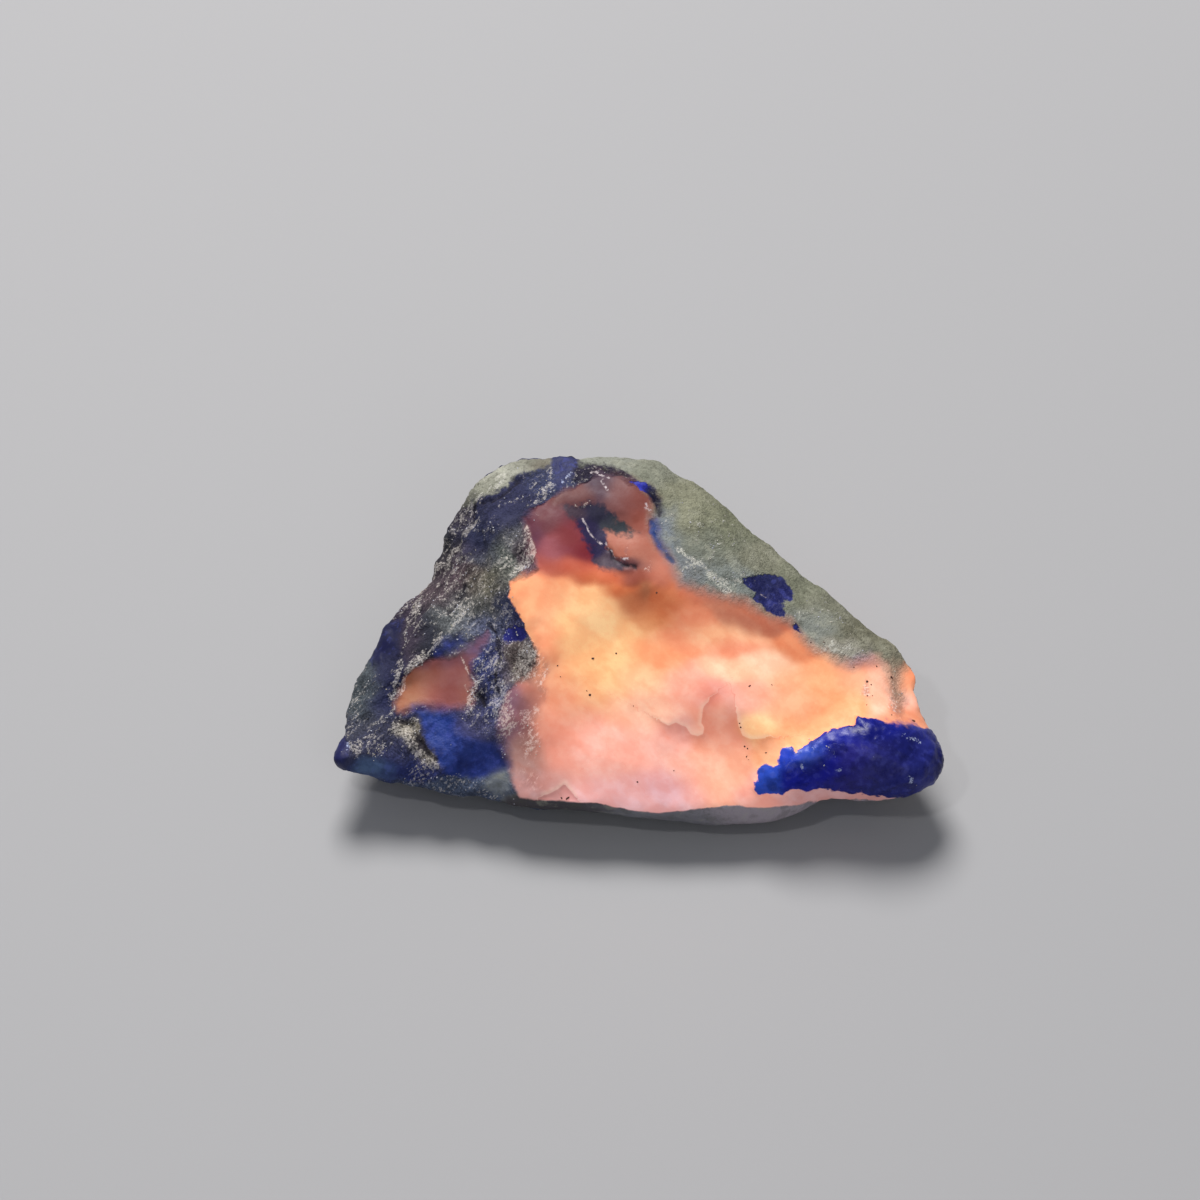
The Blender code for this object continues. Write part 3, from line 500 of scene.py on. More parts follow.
frostClouds = [
    (3.2, 14.6, 2.4, 1.8, 0.30), (2.9, 13.0, 1.0, 0.8, 0.45), (5.2, 12.2, 1.0, 0.5, 0.45), (9.9, 8.9, 1.0, 0.35, 0.80),
    (9.5, 10.6, 1.8, 0.8, 0.30), (-6.8, 17.5, 1.2, 0.4, 0.50), (12.8, 6.4, 0.4, 1.0, 0.60),
    (-6.9, 16.3, 1.6, 1.0, 0.45), (-7.9, 14.8, 1.3, 1.0, 0.45), (-5.6, 13.7, 0.4, 1.0, 0.85), (-6.6, 13.0, 1.0, 0.9, 0.70),
    (-9.6, 12.2, 1.2, 0.8, 0.50), (-8.9, 10.6, 1.2, 1.0, 0.70), (-7.9, 9.9, 0.9, 0.4, 0.55), (-11.6, 9.2, 0.5, 1.2, 0.60),
    (-13.1, 7.2, 0.8, 0.8, 0.50), (-13.7, 5.8, 0.5, 1.0, 0.45), (-6.5, 10.3, 0.5, 1.2, 0.60), (-5.5, 8.3, 0.7, 1.1, 0.90),
    (-6.9, 7.0, 0.7, 1.7, 0.80), (-6.5, 5.2, 0.6, 1.0, 0.75), (-0.3, 13.8, 0.15, 0.4, 0.60), (0.4, 12.8, 0.3, 0.4, 0.55), (-13.1, 4.4, 1.0, 0.6, 0.55), (-11.4, 4.6, 0.5, 0.5, 0.90),
    (-10.3, 3.4, 0.5, 0.5, 0.90), (-11.0, 2.6, 1.3, 0.6, 0.60), (-9.2, 2.2, 1.4, 0.4, 0.50), (-14.2, 3.8, 0.3, 0.5, 0.70),
    # on the blue lump, the frost spots in this row and the next are painted highlights, glints where the lump catches
    # the light
    (13.4, 4.35, 0.5, 0.14, 0.95), (13.6, 2.35, 0.15, 0.30, 0.95), (8.15, 3.05, 0.15, 0.30, 0.90),
    (9.9, 2.9, 0.30, 0.14, 0.85), (9.1, 3.8, 0.8, 0.5, 0.55), (9.1, 2.5, 0.2, 0.3, 0.60), (11.2, 3.6, 0.8, 0.4, 0.40),
    (-5.4, 4.8, 0.7, 1.8, 0.60), (-4.7, 7.4, 0.3, 1.4, 0.60), (-5.3, 2.2, 0.9, 0.8, 0.50), (11.45, 6.9, 0.25, 0.4, 0.70),
    (-7.9, 4.9, 0.8, 0.5, 0.45), (-4.9, 15.6, 0.5, 0.3, 0.50), (12.9, 5.5, 0.6, 0.2, 0.45),
]
bareClouds = [
    (-12.6, 9.1, 1.0, 0.9, 0.9), (-6.3, 15.5, 0.9, 0.45, 0.5), (-8.1, 14.1, 0.6, 0.35, 0.5), (-12.6, 7.6, 0.4, 0.6, 0.5),
    (-12.6, 6.2, 0.5, 0.6, 0.4), (-6.4, 16.8, 0.7, 0.3, 0.5), (-10.5, 9.6, 0.3, 0.6, 0.3), (-12.9, 2.9, 1.4, 0.35, 0.8),
]
hiddenSide = {
    "turnStart": 0.12,  # how far the surface has turned from the camera where the hidden side's pattern starts
    "turnEnd": -0.30,
    "warmAt": (7.2, 3.6, 3.2),  # mm, the orange mass where it shows behind
    "warmReach": (4.2, 3.0, 2.4),
    "frost": 0.35,
}


def laidColours(mesh):
    places, normals = readPlaces(mesh), readNormals(mesh)
    spots = onSeenPlane(places)
    waver = np.column_stack((steady(places, 0.9), steady(places, 0.9, 7.3)))
    jagged = np.column_stack((steady(places, 0.35, 3.1), steady(places, 0.35, 5.9)))
    calm = softAmount(spots, calmPlaces)
    drawn = spots + (1 - 0.8 * calm[:, None]) * (0.10 * waver + 0.07 * jagged)
    loose = spots + 0.35 * waver + 0.15 * jagged

    warm = np.maximum(insideBy(drawn, warmOutlines["face"]), insideBy(drawn, warmOutlines["window"]))
    pocket = insideBy(drawn, pocketOutline)
    rind = np.max([insideBy(drawn, outline) for outline in rindOutlines.values()], axis=0)
    blue = np.max([insideBy(drawn, outline) for outline in blueOutlines.values()], axis=0)
    lump = insideBy(spots + 0.08 * waver + 0.17 * jagged, blueOutlines["lump"])
    blue = np.where(insideBy(spots, blueOutlines["lump"]) > -0.6, lump, blue)
    white = np.max([alongLine(drawn, line, width) for width, line in whiteLines.values()], axis=0)
    dark = np.max([alongLine(loose, line, width) for width, line in crackShadeLines.values()], axis=0)
    chip = besideLines(spots + 0.03 * jagged, chipLines.values())
    frost = softAmount(loose, frostClouds)
    frost = np.maximum(frost, 0.45 * smooth(-np.maximum(warm, rind), -0.1, 0.1) * (blue < 0))
    for width, line in frostLines.values():
        frost = np.maximum(frost, 0.85 * smooth(alongLine(loose, line, width), -0.18, 0.04))
    frost = frost - softAmount(loose, bareClouds)
    # the orange fades softly into the band, and in a few other places
    soft = softAmount(spots, softBorders)
    warmSoft = np.maximum(soft, 0.9 * smooth(insideBy(spots, rindOutlines["band"]), -0.9, 0.1))

    # the side that the camera doesn't see carries on from what shows along the stone's outline
    facing = normals @ np.array(viewWay)
    turned = smooth(-facing, -hiddenSide["turnStart"], -hiddenSide["turnEnd"])
    broad, patchy = steady(places, 3.4, 2.7), steady(places, 1.9, 8.2)
    away = (places - np.array(hiddenSide["warmAt"])) / np.array(hiddenSide["warmReach"])
    warmBehind = 2.5 * (1 - np.linalg.norm(away, axis=1)) + 1.1 * patchy
    rindBehind = 0.7 * (places[:, 0] + 2.5) + 2.6 * broad + 0.6 * patchy
    blueBehind = 2.2 * (steady(places, 2.3, 11.4) - 0.38)
    warm = warm + (warmBehind - warm) * turned
    rind = rind + (rindBehind - rind) * turned
    blue = blue + (blueBehind - blue) * turned
    pocket = pocket + (-1.0 - pocket) * turned
    white = white - turned
    dark = dark - turned
    chip = chip - 3.0 * turned
    calm = calm * (1 - turned)
    frost = frost + (hiddenSide["frost"] * (0.5 + 0.8 * patchy) - frost) * turned

    store(mesh, "warmEdge", warm)
    store(mesh, "rindEdge", rind)
    store(mesh, "blueEdge", blue)
    store(mesh, "whiteEdge", white)
    store(mesh, "crackShadeEdge", dark)
    store(mesh, "chipEdge", chip)
    store(mesh, "calm", calm)
    store(mesh, "soft", soft * (1 - turned))
    store(mesh, "warmSoft", warmSoft * (1 - turned))
    store(mesh, "pocketEdge", pocket)
    store(mesh, "frost", np.clip(frost, 0, 1))
    store(mesh, "free", smooth(places[:, 2], stoneMesh["heldBelow"], stoneMesh["freeAbove"]))
    store(mesh, "lumpEdge", lump + (-0.5 - lump) * turned)
    store(mesh, "warmTint", softColours(spots + 0.22 * waver, warmClouds))
    store(mesh, "rockTint", softColours(loose, rockClouds))
    store(mesh, "rindTint", softColours(loose, rindClouds))
    store(mesh, "blueTint", softColours(drawn, blueClouds))


def store(mesh, name, values):
    if values.ndim == 1:
        made = mesh.attributes.new(name, "FLOAT", "POINT")
        made.data.foreach_set("value", values.astype(np.float32))
    else:
        made = mesh.attributes.new(name, "FLOAT_COLOR", "POINT")
        made.data.foreach_set("color", np.column_stack((values, np.ones(len(values)))).astype(np.float32).ravel())


# Fine relief, as a Geometry Nodes tree

relief = {
    "Rock Depth": 0.18, "Streak Depth": 0.26, "Rind Depth": 0.10, "Blue Depth": 0.10, "Warm Depth": 0.03,
    "Lump Rise": 0.08, "Crack Depth": 0.10, "Chip Depth": 0.05,
}


def newTree(name, sizes):
    tree = bpy.data.node_groups.new(name, "GeometryNodeTree")
    tree.interface.new_socket("Geometry", in_out="INPUT", socket_type="NodeSocketGeometry")
    tree.interface.new_socket("Geometry", in_out="OUTPUT", socket_type="NodeSocketGeometry")
    for label, value in sizes.items():
        kind = "NodeSocketInt" if isinstance(value, int) else "NodeSocketFloat"
        tree.interface.new_socket(label, in_out="INPUT", socket_type=kind)
    return tree, addNode(tree, "NodeGroupInput"), addNode(tree, "NodeGroupOutput")


def worked(mesh, tree, sizes, material):
    # runs a tree on a mesh, with its inputs set, and gives the result as a plain mesh
    holder = bpy.data.objects.new("holder", mesh)
    bpy.context.scene.collection.objects.link(holder)
    modifier = holder.modifiers.new("nodes", "NODES")
    modifier.node_group = tree
    for socket in tree.interface.items_tree:
        if socket.in_out == "INPUT" and socket.name in sizes:
            modifier[socket.identifier] = sizes[socket.name]
    result = asMesh(holder)
    bpy.data.objects.remove(holder)
    return result


def storedNumber(tree, name):
    made = addNode(tree, "GeometryNodeInputNamedAttribute", data_type="FLOAT")
    made.inputs["Name"].default_value = name
    return made.outputs["Attribute"]


def streakPlace(tree, place, stretch, climb=50):
    # a frame for streaks that climb to the right by that many degrees, as the camera sees them
    streak = rightWay * math.cos(math.radians(climb)) + upWay * math.sin(math.radians(climb))
    made = addNode(tree, "ShaderNodeCombineXYZ")
    for way, socket in zip((streak / stretch, viewWay.cross(streak), viewWay), made.inputs):
        plug(tree, calcVector(tree, "DOT_PRODUCT", place, way), socket)
    return made.outputs[0]


def reliefTree(material):
    tree, given, final = newTree("stoneRelief", relief)
    spot = addNode(tree, "GeometryNodeInputPosition").outputs[0]
    place = calcVector(tree, "SCALE", spot, scale=1 / mm)
    warm = ramp(tree, storedNumber(tree, "warmEdge"), -0.10, 0.15)
    rind = ramp(tree, storedNumber(tree, "rindEdge"), -0.20, 0.20)
    blue = ramp(tree, storedNumber(tree, "blueEdge"), -0.08, 0.08)
    lump = ramp(tree, storedNumber(tree, "lumpEdge"), -0.07, 0.07)
    rock = calc(tree, "MULTIPLY", calc(tree, "SUBTRACT", 1.0, warm), calc(tree, "SUBTRACT", 1.0, blue))
    layered = calc(tree, "MULTIPLY", rock, calc(tree, "SUBTRACT", 1.0, rind))
    coarse = calc(tree, "SUBTRACT", noiseIn(tree, place, 1.1, 4.0, 0.6), 0.5)
    grains = calc(tree, "SUBTRACT", noiseIn(tree, place, 2.9, 3.0, 0.6), 0.5)
    soft = calc(tree, "SUBTRACT", noiseIn(tree, place, 0.8, 2.0, 0.5), 0.5)
    streaks = calc(tree, "SUBTRACT", noiseIn(tree, streakPlace(tree, place, 3.4), 1.7, 3.0, 0.6), 0.5)
    rough = calc(tree, "SUBTRACT", 1.0, storedNumber(tree, "calm"))
    push = 0.0
    for share, pattern, label in (
            (layered, coarse, "Rock Depth"), (layered, streaks, "Streak Depth"),
            (calc(tree, "MULTIPLY", rock, rind), grains, "Rind Depth"), (blue, grains, "Blue Depth")):
        deep = calc(tree, "MULTIPLY", pattern, calc(tree, "MULTIPLY", given.outputs[label], 2.0))
        push = calc(tree, "MULTIPLY_ADD", calc(tree, "MULTIPLY", share, rough), deep, push)
    chipEdge = storedNumber(tree, "chipEdge")
    chip = calc(tree, "MULTIPLY", ramp(tree, chipEdge, -0.03, 0.07), ramp(tree, chipEdge, 0.2, 1.1, -1.0, 0.0))
    crack = ramp(tree, storedNumber(tree, "crackShadeEdge"), -0.12, 0.06, 0.0, -1.0)
    for share, pattern, label in (
            (warm, soft, "Warm Depth"), (warm, chip, "Chip Depth"), (lump, 1.0, "Lump Rise"), (crack, 1.0, "Crack Depth")):
        deep = calc(tree, "MULTIPLY", pattern, given.outputs[label])
        push = calc(tree, "MULTIPLY_ADD", share, deep, push)
    push = calc(tree, "MULTIPLY", push, storedNumber(tree, "free"))
    push = calc(tree, "MULTIPLY", push, mm)
    normal = addNode(tree, "GeometryNodeInputNormal").outputs[0]
    moved = addNode(tree, "GeometryNodeSetPosition")
    plug(tree, given.outputs["Geometry"], moved.inputs["Geometry"])
    plug(tree, calcVector(tree, "SCALE", normal, scale=push), moved.inputs["Offset"])
    real = addNode(tree, "GeometryNodeRealizeInstances")
    plug(tree, moved.outputs["Geometry"], real.inputs["Geometry"])
    dressed = addNode(tree, "GeometryNodeSetMaterial")
    plug(tree, real.outputs["Geometry"], dressed.inputs["Geometry"])
    dressed.inputs["Material"].default_value = material
    plug(tree, dressed.outputs["Geometry"], final.inputs["Geometry"])
    return tree


# The stone's surface

def storedColour(tree, name):
    made = addNode(tree, "ShaderNodeAttribute", attribute_name=name)
    return made.outputs["Color"]


def storedShare(tree, name):
    made = addNode(tree, "ShaderNodeAttribute", attribute_name=name)
    return made.outputs["Fac"]


def plainMaterial(name, colour, roughness):
    material = bpy.data.materials.new(name)
    material.use_nodes = True
    shader = material.node_tree.nodes["Principled BSDF"]
    shader.inputs["Base Color"].default_value = (*linear(colour), 1)
    shader.inputs["Roughness"].default_value = roughness
    material.diffuse_color = (*linear(colour), 1)
    return material


def stoneSurface():
    material = plainMaterial("stoneSurface", (190, 130, 100), 0.5)
    tree = material.node_tree
    shader = tree.nodes["Principled BSDF"]
    spot = addNode(tree, "ShaderNodeTexCoord").outputs["Object"]
    place = calcVector(tree, "SCALE", spot, scale=1 / mm)
    fleck = noiseIn(tree, place, 2.6, 4.0, 0.6)
    cloud = noiseIn(tree, streakPlace(tree, place, 2.2, -42), 0.9, 3.0, 0.5)
    mottle = noiseIn(tree, place, 1.3, 5.0, 0.62)
    streak = noiseIn(tree, streakPlace(tree, place, 3.2), 1.5, 4.0, 0.6)
    sugar = noiseIn(tree, streakPlace(tree, place, 1.6), 5.5, 3.0, 0.75)
    sand = noiseIn(tree, place, 5.0, 3.0, 0.75)
    frost = storedShare(tree, "frost")
    calm = storedShare(tree, "calm")
    rough = calc(tree, "SUBTRACT", 1.0, calm)

    def edge(name, width, wobble, softness=0.0):
        # a mineral's border, broken up by fine grains
        broken = calc(tree, "MULTIPLY", calc(tree, "SUBTRACT", fleck, 0.5), rough)
        reach = calc(tree, "MULTIPLY_ADD", softness, 0.5, width)
        start = calc(tree, "MULTIPLY", reach, -1.0)
        return ramp(tree, calc(tree, "MULTIPLY_ADD", broken, wobble, storedShare(tree, name)), start, reach)

    # white frost lies in streaks and is made of sugary grains
    drift = calc(tree, "MULTIPLY_ADD", calc(tree, "SUBTRACT", streak, 0.5), 0.6, calc(tree, "MULTIPLY", frost, 0.5))
    grit = noiseIn(tree, place, 9.0, 2.0, 0.7)
    frosted = ramp(tree, calc(tree, "ADD", sugar, drift), 0.75, 0.87)
    frosted = calc(tree, "MULTIPLY", frosted, ramp(tree, grit, 0.40, 0.54, 0.12, 1.0))

    # dark layered rock
    rockTint = storedColour(tree, "rockTint")
    # painted shade: near-black between the frosty streaks, where shadow falls between the ledges
    gapShade = ramp(tree, calc(tree, "ADD", grit, calc(tree, "MULTIPLY", streak, 0.5)), 0.66, 0.80, 0.85, 0.0)
    gapShade = calc(tree, "MULTIPLY", gapShade, calc(tree, "MULTIPLY_ADD", frost, 0.8, 0.25))
    rockColour = blendColours(tree, gapShade, rockTint, paint(12, 12, 24))
    paleTint = blendColours(tree, 0.62, rockTint, paint(236, 228, 220))
    frostColour = blendColours(tree, ramp(tree, sand, 0.38, 0.62, 0.35, 1.0), rockTint, paleTint)
    rockColour = blendColours(tree, frosted, rockColour, frostColour)

    # grey-green rind, a fine grainy rock
    rindColour = storedColour(tree, "rindTint")
    darker = calc(tree, "MULTIPLY", ramp(tree, sand, 0.38, 0.50, 0.40, 0.0), rough)
    rindColour = blendColours(tree, darker, rindColour, paint(70, 68, 56))
    rindColour = blendColours(tree, ramp(tree, mottle, 0.52, 0.66, 0.0, 0.30), rindColour, paint(176, 176, 158))
    rindColour = blendColours(tree, ramp(tree, mottle, 0.36, 0.50, 0.30, 0.0), rindColour, paint(84, 86, 72))
    rindColour = blendColours(tree, calc(tree, "MULTIPLY", frosted, 0.75), rindColour, paint(204, 202, 192))

    # blue, darker in its grain, with pale glints painted in as highlights
    blueColour = storedColour(tree, "blueTint")
    blueColour = blendColours(tree, ramp(tree, mottle, 0.36, 0.56, 0.45, 0.0), blueColour, paint(10, 12, 72))
    blueColour = blendColours(tree, ramp(tree, fleck, 0.52, 0.68, 0.0, 0.22), blueColour, paint(84, 92, 190))
    paintedGlint = ramp(tree, calc(tree, "MULTIPLY_ADD", frost, 0.45, sand), 0.80, 0.88, 0.0, 0.9)
    paintedGlint = calc(tree, "MULTIPLY", paintedGlint, ramp(tree, grit, 0.38, 0.54, 0.1, 1.0))
    blueColour = blendColours(tree, paintedGlint, blueColour, paint(186, 196, 232))

    # orange, with soft clouds, fine mottling, painted shade and highlight along chipped edges, and dusty crust
    warmColour = storedColour(tree, "warmTint")
    warmColour = blendColours(
        tree, ramp(tree, mottle, 0.36, 0.62, 0.0, 0.35), warmColour, paint(238, 206, 196), "MULTIPLY")
    warmColour = blendColours(
        tree, ramp(tree, cloud, 0.42, 0.60, 0.0, 0.4), warmColour, paint(250, 214, 196), "MULTIPLY")
    # painted shade on the deeper side of each chipped edge, and a painted highlight along its rim
    chip = storedShare(tree, "chipEdge")
    shade = calc(tree, "MULTIPLY", ramp(tree, chip, -0.03, 0.04), ramp(tree, chip, 0.1, 1.0, 0.7, 0.0))
    lit = calc(tree, "MULTIPLY", ramp(tree, chip, -0.30, -0.03), ramp(tree, chip, -0.03, 0.02, 0.25, 0.0))
    warmColour = blendColours(tree, shade, warmColour, paint(238, 214, 212), "MULTIPLY")
    warmColour = blendColours(tree, lit, warmColour, paint(255, 224, 200))
    crust = calc(tree, "MULTIPLY", ramp(tree, frost, 0.2, 0.7, 0.0, 0.5), ramp(tree, sugar, 0.45, 0.60, 1.0, 0.0))
    warmColour = blendColours(tree, crust, warmColour, paint(140, 96, 92))
    dusty = calc(tree, "MULTIPLY", frosted, ramp(tree, frost, 0.15, 0.6, 0.0, 0.6))
    warmColour = blendColours(tree, dusty, warmColour, paint(238, 214, 204))

    warmShare = edge("warmEdge", 0.05, 0.40, storedShare(tree, "warmSoft"))
    blueShare = edge("blueEdge", 0.05, 0.45, storedShare(tree, "soft"))
    rindShare = edge("rindEdge", 0.12, 0.80, storedShare(tree, "soft"))
    pocketShare = edge("pocketEdge", 0.20, 1.00)
    whiteShare = calc(tree, "MULTIPLY", edge("whiteEdge", 0.04, 0.25), ramp(tree, sand, 0.42, 0.52))
    crackShadeShare = calc(tree, "MULTIPLY", edge("crackShadeEdge", 0.08, 0.50), 0.8)
    colour = blendColours(tree, rindShare, rockColour, rindColour)
    colour = blendColours(tree, warmShare, colour, warmColour)
    colour = blendColours(tree, pocketShare, colour, rockColour)
    colour = blendColours(tree, blueShare, colour, blueColour)
    # painted shade: near-black along the cracks and under the ledges
    colour = blendColours(tree, crackShadeShare, colour, paint(24, 20, 34))
    colour = blendColours(tree, whiteShare, colour, paint(214, 200, 204))
    plug(tree, colour, shader.inputs["Base Color"])

    # painted glow: the orange face emits its own colour, though it is no lamp, which also flattens its shading
    dull = calc(tree, "MAXIMUM", calc(tree, "MAXIMUM", pocketShare, blueShare), crackShadeShare)
    paintedGlow = calc(tree, "MULTIPLY", warmShare, calc(tree, "SUBTRACT", 1.0, dull))
    parts = addNode(tree, "ShaderNodeSeparateColor")
    plug(tree, storedColour(tree, "warmTint"), parts.inputs[0])
    paintedGlow = calc(tree, "MULTIPLY", paintedGlow, ramp(tree, parts.outputs[0], 0.20, 0.85, 0.1, 1.0))
    plug(tree, blendColours(tree, paintedGlow, paint(0, 0, 0), warmColour), shader.inputs["Emission Color"])
    shader.inputs["Emission Strength"].default_value = 0.42
    shader.inputs["Specular IOR Level"].default_value = 0.22

    roughness = calc(tree, "MULTIPLY_ADD", warmShare, -0.20, 0.72)
    roughness = calc(tree, "MULTIPLY_ADD", blueShare, -0.20, roughness)
    roughness = calc(tree, "MULTIPLY_ADD", calc(tree, "SUBTRACT", fleck, 0.5), 0.35, roughness)
    plug(tree, roughness, shader.inputs["Roughness"])

    # fine grain that the mesh is too coarse for
    grainy = calc(tree, "ADD", calc(tree, "MULTIPLY", sugar, 1.2), calc(tree, "MULTIPLY", sand, 0.8))
    grained = calc(tree, "MULTIPLY_ADD", warmShare, -0.92, 1.0)
    grained = calc(tree, "MULTIPLY_ADD", blueShare, -0.55, grained)
    grained = calc(tree, "MULTIPLY_ADD", calm, -0.7, grained)
    bump = addNode(tree, "ShaderNodeBump")
    bump.inputs["Strength"].default_value = 0.9
    bump.inputs["Distance"].default_value = 0.10 * mm
    plug(tree, calc(tree, "MULTIPLY", grainy, calc(tree, "MAXIMUM", grained, 0.08)), bump.inputs["Height"])
    plug(tree, bump.outputs[0], shader.inputs["Normal"])
    return material


# Frost grains, scattered by Geometry Nodes

grains = {"Per Square Millimetre": 50.0, "Smallest": 0.02, "Largest": 0.055, "Seed": 4}


def grainTree(material, sizes):
    tree, given, final = newTree("frostGrains", sizes)
    warm = ramp(tree, storedNumber(tree, "warmEdge"), -0.1, 0.2, 1.0, 0.2)
    frost = storedNumber(tree, "frost")
    place = calcVector(tree, "SCALE", addNode(tree, "GeometryNodeInputPosition").outputs[0], scale=1 / mm)
    clump = ramp(tree, noiseIn(tree, streakPlace(tree, place, 3.2), 1.5, 4.0, 0.6), 0.46, 0.60)
    share = calc(tree, "MULTIPLY", calc(tree, "POWER", frost, 1.6), calc(tree, "MULTIPLY", warm, clump))
    share = calc(tree, "MULTIPLY", share, storedNumber(tree, "free"))
    spread = addNode(tree, "GeometryNodeDistributePointsOnFaces")
    plug(tree, given.outputs["Geometry"], spread.inputs["Mesh"])
    perMetre = calc(tree, "MULTIPLY", given.outputs["Per Square Millimetre"], 1 / (mm * mm))
    plug(tree, calc(tree, "MULTIPLY", share, perMetre), spread.inputs["Density"])
    plug(tree, given.outputs["Seed"], spread.inputs["Seed"])
    grain = addNode(tree, "GeometryNodeMeshCube")
    grain.inputs["Size"].default_value = (1.0, 1.35, 0.8)
    turn = addNode(tree, "FunctionNodeRandomValue", data_type="FLOAT_VECTOR")
    turn.inputs["Max"].default_value = (math.tau, math.tau, math.tau)
    size = addNode(tree, "FunctionNodeRandomValue", data_type="FLOAT")
    plug(tree, calc(tree, "MULTIPLY", given.outputs["Smallest"], mm), size.inputs[2])
    plug(tree, calc(tree, "MULTIPLY", given.outputs["Largest"], mm), size.inputs[3])
    plug(tree, given.outputs["Seed"], size.inputs["Seed"])
    put = addNode(tree, "GeometryNodeInstanceOnPoints")
    plug(tree, spread.outputs["Points"], put.inputs["Points"])
    plug(tree, grain.outputs["Mesh"], put.inputs["Instance"])
    plug(tree, turn.outputs[0], put.inputs["Rotation"])
    plug(tree, size.outputs[1], put.inputs["Scale"])
    real = addNode(tree, "GeometryNodeRealizeInstances")
    plug(tree, put.outputs["Instances"], real.inputs["Geometry"])
    dressed = addNode(tree, "GeometryNodeSetMaterial")
    plug(tree, real.outputs["Geometry"], dressed.inputs["Geometry"])
    dressed.inputs["Material"].default_value = material
    plug(tree, dressed.outputs["Geometry"], final.inputs["Geometry"])
    return tree


def frostMaterial():
    material = plainMaterial("frostGrain", (205, 198, 190), 0.5)
    tree = material.node_tree
    shader = tree.nodes["Principled BSDF"]
    place = calcVector(tree, "SCALE", addNode(tree, "ShaderNodeTexCoord").outputs["Object"], scale=1 / mm)
    shade = noiseIn(tree, place, 1.4, 3.0, 0.6)
    colour = blendColours(tree, ramp(tree, shade, 0.35, 0.65), (*linear((176, 168, 150)), 1), (*linear((196, 198, 216)), 1))
    plug(tree, colour, shader.inputs["Base Color"])
    plug(tree, ramp(tree, shade, 0.3, 0.7, 0.35, 0.6), shader.inputs["Roughness"])
    return material


def addPiece(name, mesh, material):
    mesh.materials.clear()
    mesh.materials.append(material)
    piece = bpy.data.objects.new(name, mesh)
    bpy.context.scene.collection.objects.link(piece)
    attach(piece, "root")
    return piece


def makeStone():
    mesh = fineStone()
    print("fine mesh:", len(mesh.polygons), "faces")
    laidColours(mesh)
    surface = stoneSurface()
    shaped = worked(mesh, reliefTree(surface), relief, surface)
    stone = addPiece("stone", shaped, surface)
    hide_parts("afghanite_stone")
    print("stone shaped:", len(shaped.polygons), "faces")
    frost = frostMaterial()
    scattered = worked(shaped, grainTree(frost, grains), grains, frost)
    addPiece("frost_grains", scattered, frost)
    print("frost grains:", len(scattered.polygons) // 6)
    return shaped


# Dark specks in the orange face, as (across, up, size) in mm

speckSpots = [
    (-2.20, 8.35, 0.08), (-1.05, 8.60, 0.05), (-2.35, 6.55, 0.07), (-2.50, 6.75, 0.04), (5.55, 7.00, 0.08),
    (6.65, 7.05, 0.05), (5.05, 5.15, 0.05), (5.10, 4.95, 0.05), (5.30, 4.00, 0.05), (5.45, 3.90, 0.05),
    (5.40, 3.50, 0.06), (5.50, 3.35, 0.04), (-0.20, 6.00, 0.04), (1.80, 2.80, 0.04), (0.00, 2.25, 0.05),
    (-3.95, 8.00, 0.05), (-3.80, 7.45, 0.04), (6.35, 3.70, 0.06), (10.75, 7.90, 0.05), (11.90, 7.95, 0.06),
    (11.40, 7.20, 0.07), (11.60, 7.05, 0.04), (11.40, 6.50, 0.05), (11.65, 6.50, 0.04), (11.35, 6.05, 0.05),
    (12.65, 7.40, 0.09), (12.60, 5.55, 0.05), (13.70, 5.25, 0.10), (8.60, 9.15, 0.05), (9.25, 9.15, 0.06),
    (-3.45, 1.45, 0.12), (-3.75, 1.45, 0.07), (-5.75, 10.20, 0.05), (0.95, 11.60, 0.05),
]


def makeSpecks(mesh):
    places = [vert.co.copy() for vert in mesh.vertices]
    tree = BVHTree.FromPolygons(places, [tuple(face.vertices) for face in mesh.polygons])
    lowest = min(place.dot(upWay) for place in places) / mm
    bm = bmesh.new()
    for number, (across, up, size) in enumerate(speckSpots):
        start = rightWay * (across - seen["acrossShift"]) + upWay * (up + lowest - seen["lowest"]) + viewWay * 60
        hit, normal, _, _ = tree.ray_cast(start * mm, -viewWay)
        if hit is None:
            continue
        lean = normal.to_track_quat("Z", "Y").to_matrix().to_4x4()
        flat = Matrix.Diagonal((1.0, 0.7 + 0.3 * math.sin(number), 0.35, 1.0))
        spin = Matrix.Rotation(number * 1.7, 4, "Z")
        bmesh.ops.create_icosphere(
            bm, subdivisions=2, radius=size * mm, matrix=Matrix.Translation(hit) @ lean @ spin @ flat)
    for vert in bm.verts:
        vert.co += vert.co.normalized() * 0.02 * mm * noise.noise(vert.co / (0.08 * mm))
    made = bpy.data.meshes.new("specks")
    bm.to_mesh(made)
    bm.free()
    addPiece("dark_specks", made, plainMaterial("speckBrown", (92, 54, 42), 0.5))


# Camera, light and floor

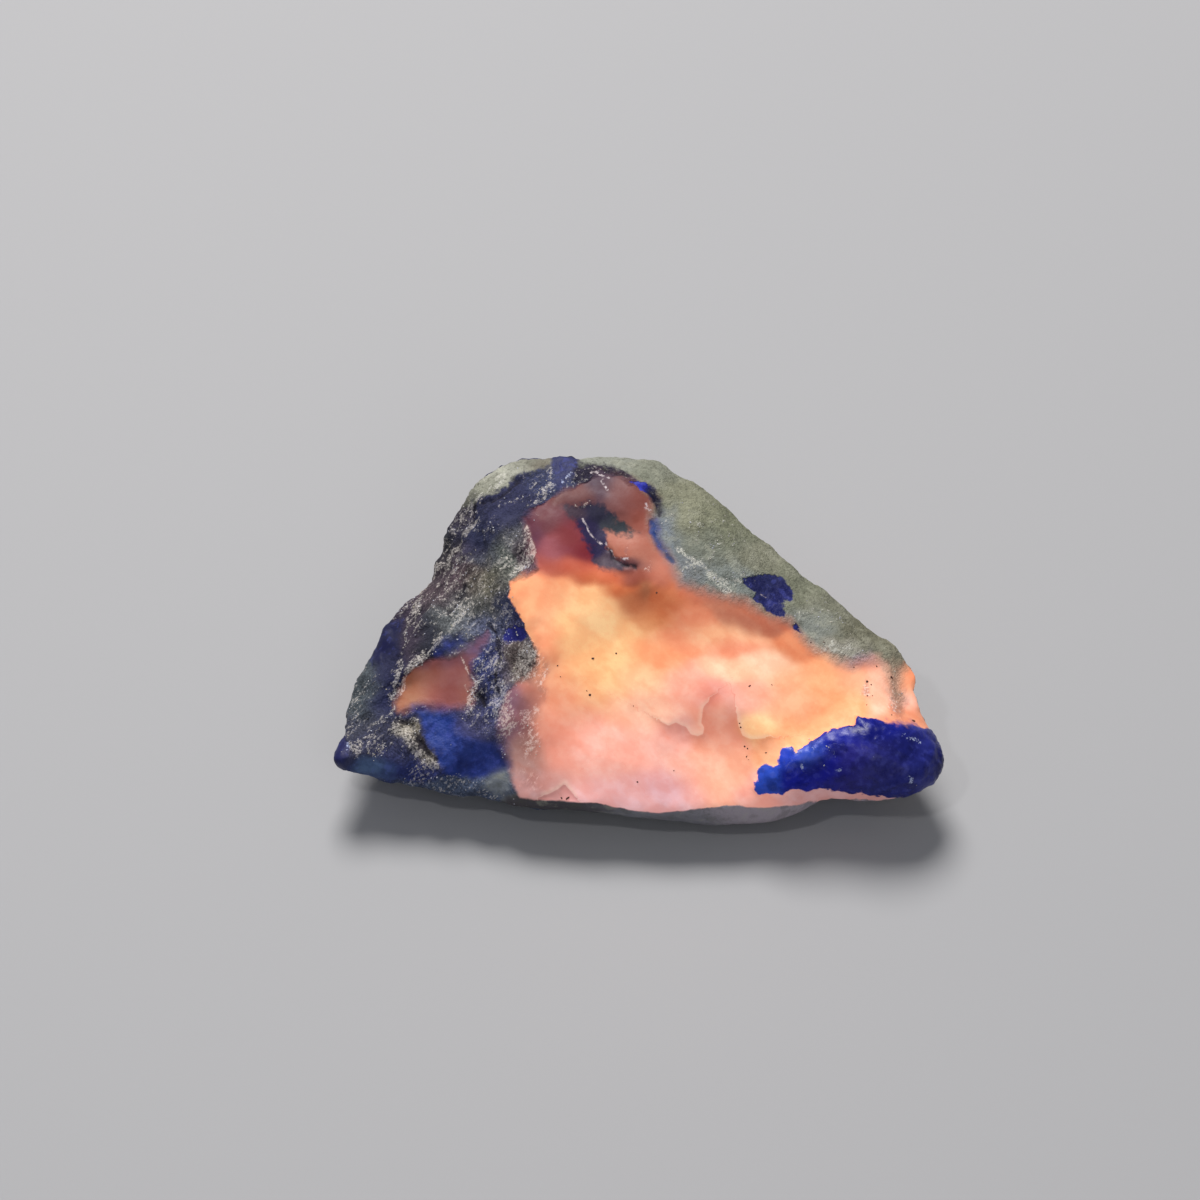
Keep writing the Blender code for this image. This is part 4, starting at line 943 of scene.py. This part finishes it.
def addCamera():
    data = bpy.data.cameras.new("camera")
    data.lens = seen["lens"]
    data.clip_start = 0.01
    distance = seen["fieldWidth"] * data.lens / data.sensor_width
    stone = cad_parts["afghanite_stone"].data
    lowest = min(vert.co.dot(upWay) for vert in stone.vertices) / mm
    middle = sum((vert.co.dot(viewWay) for vert in stone.vertices)) / len(stone.vertices) / mm
    target = rightWay * (seen["middleAcross"] - seen["acrossShift"])
    target = target + upWay * (seen["middleUp"] + lowest - seen["lowest"]) + viewWay * middle
    camera = bpy.data.objects.new("camera", data)
    camera.location = (target + viewWay * distance) * mm
    camera.rotation_euler = viewWay.to_track_quat("Z", "Y").to_euler()
    bpy.context.scene.collection.objects.link(camera)
    bpy.context.scene.camera = camera


lights = {  # where each stands, in mm, how wide it is, its power in watts and its colour
    "key": ((-50, 240, 330), 190, 2.0, (1.0, 0.98, 0.95)),
    "front": ((40, -160, 140), 120, 0.05, (0.95, 0.97, 1.0)),
    "spark": ((-50, -60, 160), 12, 0.03, (1.0, 1.0, 1.0)),
}


def addLights():
    for name, (place, width, power, colour) in lights.items():
        data = bpy.data.lights.new(name, "AREA")
        data.shape = "DISK"
        data.size = width * mm
        data.energy = power
        data.color = colour
        lamp = bpy.data.objects.new(name, data)
        lamp.location = Vector(place) * mm
        lamp.rotation_euler = Vector(place).to_track_quat("Z", "Y").to_euler()
        bpy.context.scene.collection.objects.link(lamp)
    world = bpy.data.worlds.new("world")
    world.use_nodes = True
    world.node_tree.nodes["Background"].inputs["Color"].default_value = (0.52, 0.54, 0.58, 1)
    world.node_tree.nodes["Background"].inputs["Strength"].default_value = 0.32
    bpy.context.scene.world = world


def addFloor():
    bm = bmesh.new()
    bmesh.ops.create_grid(bm, x_segments=1, y_segments=1, size=1.0)
    mesh = bpy.data.meshes.new("floor")
    bm.to_mesh(mesh)
    bm.free()
    mesh.materials.append(plainMaterial("floorGrey", (164, 164, 167), 0.7))
    floor = bpy.data.objects.new("floor", mesh)
    bpy.context.scene.collection.objects.link(floor)


addCamera()
addLights()
addFloor()
makeSpecks(makeStone())
bpy.context.scene.view_settings.view_transform = "Standard"
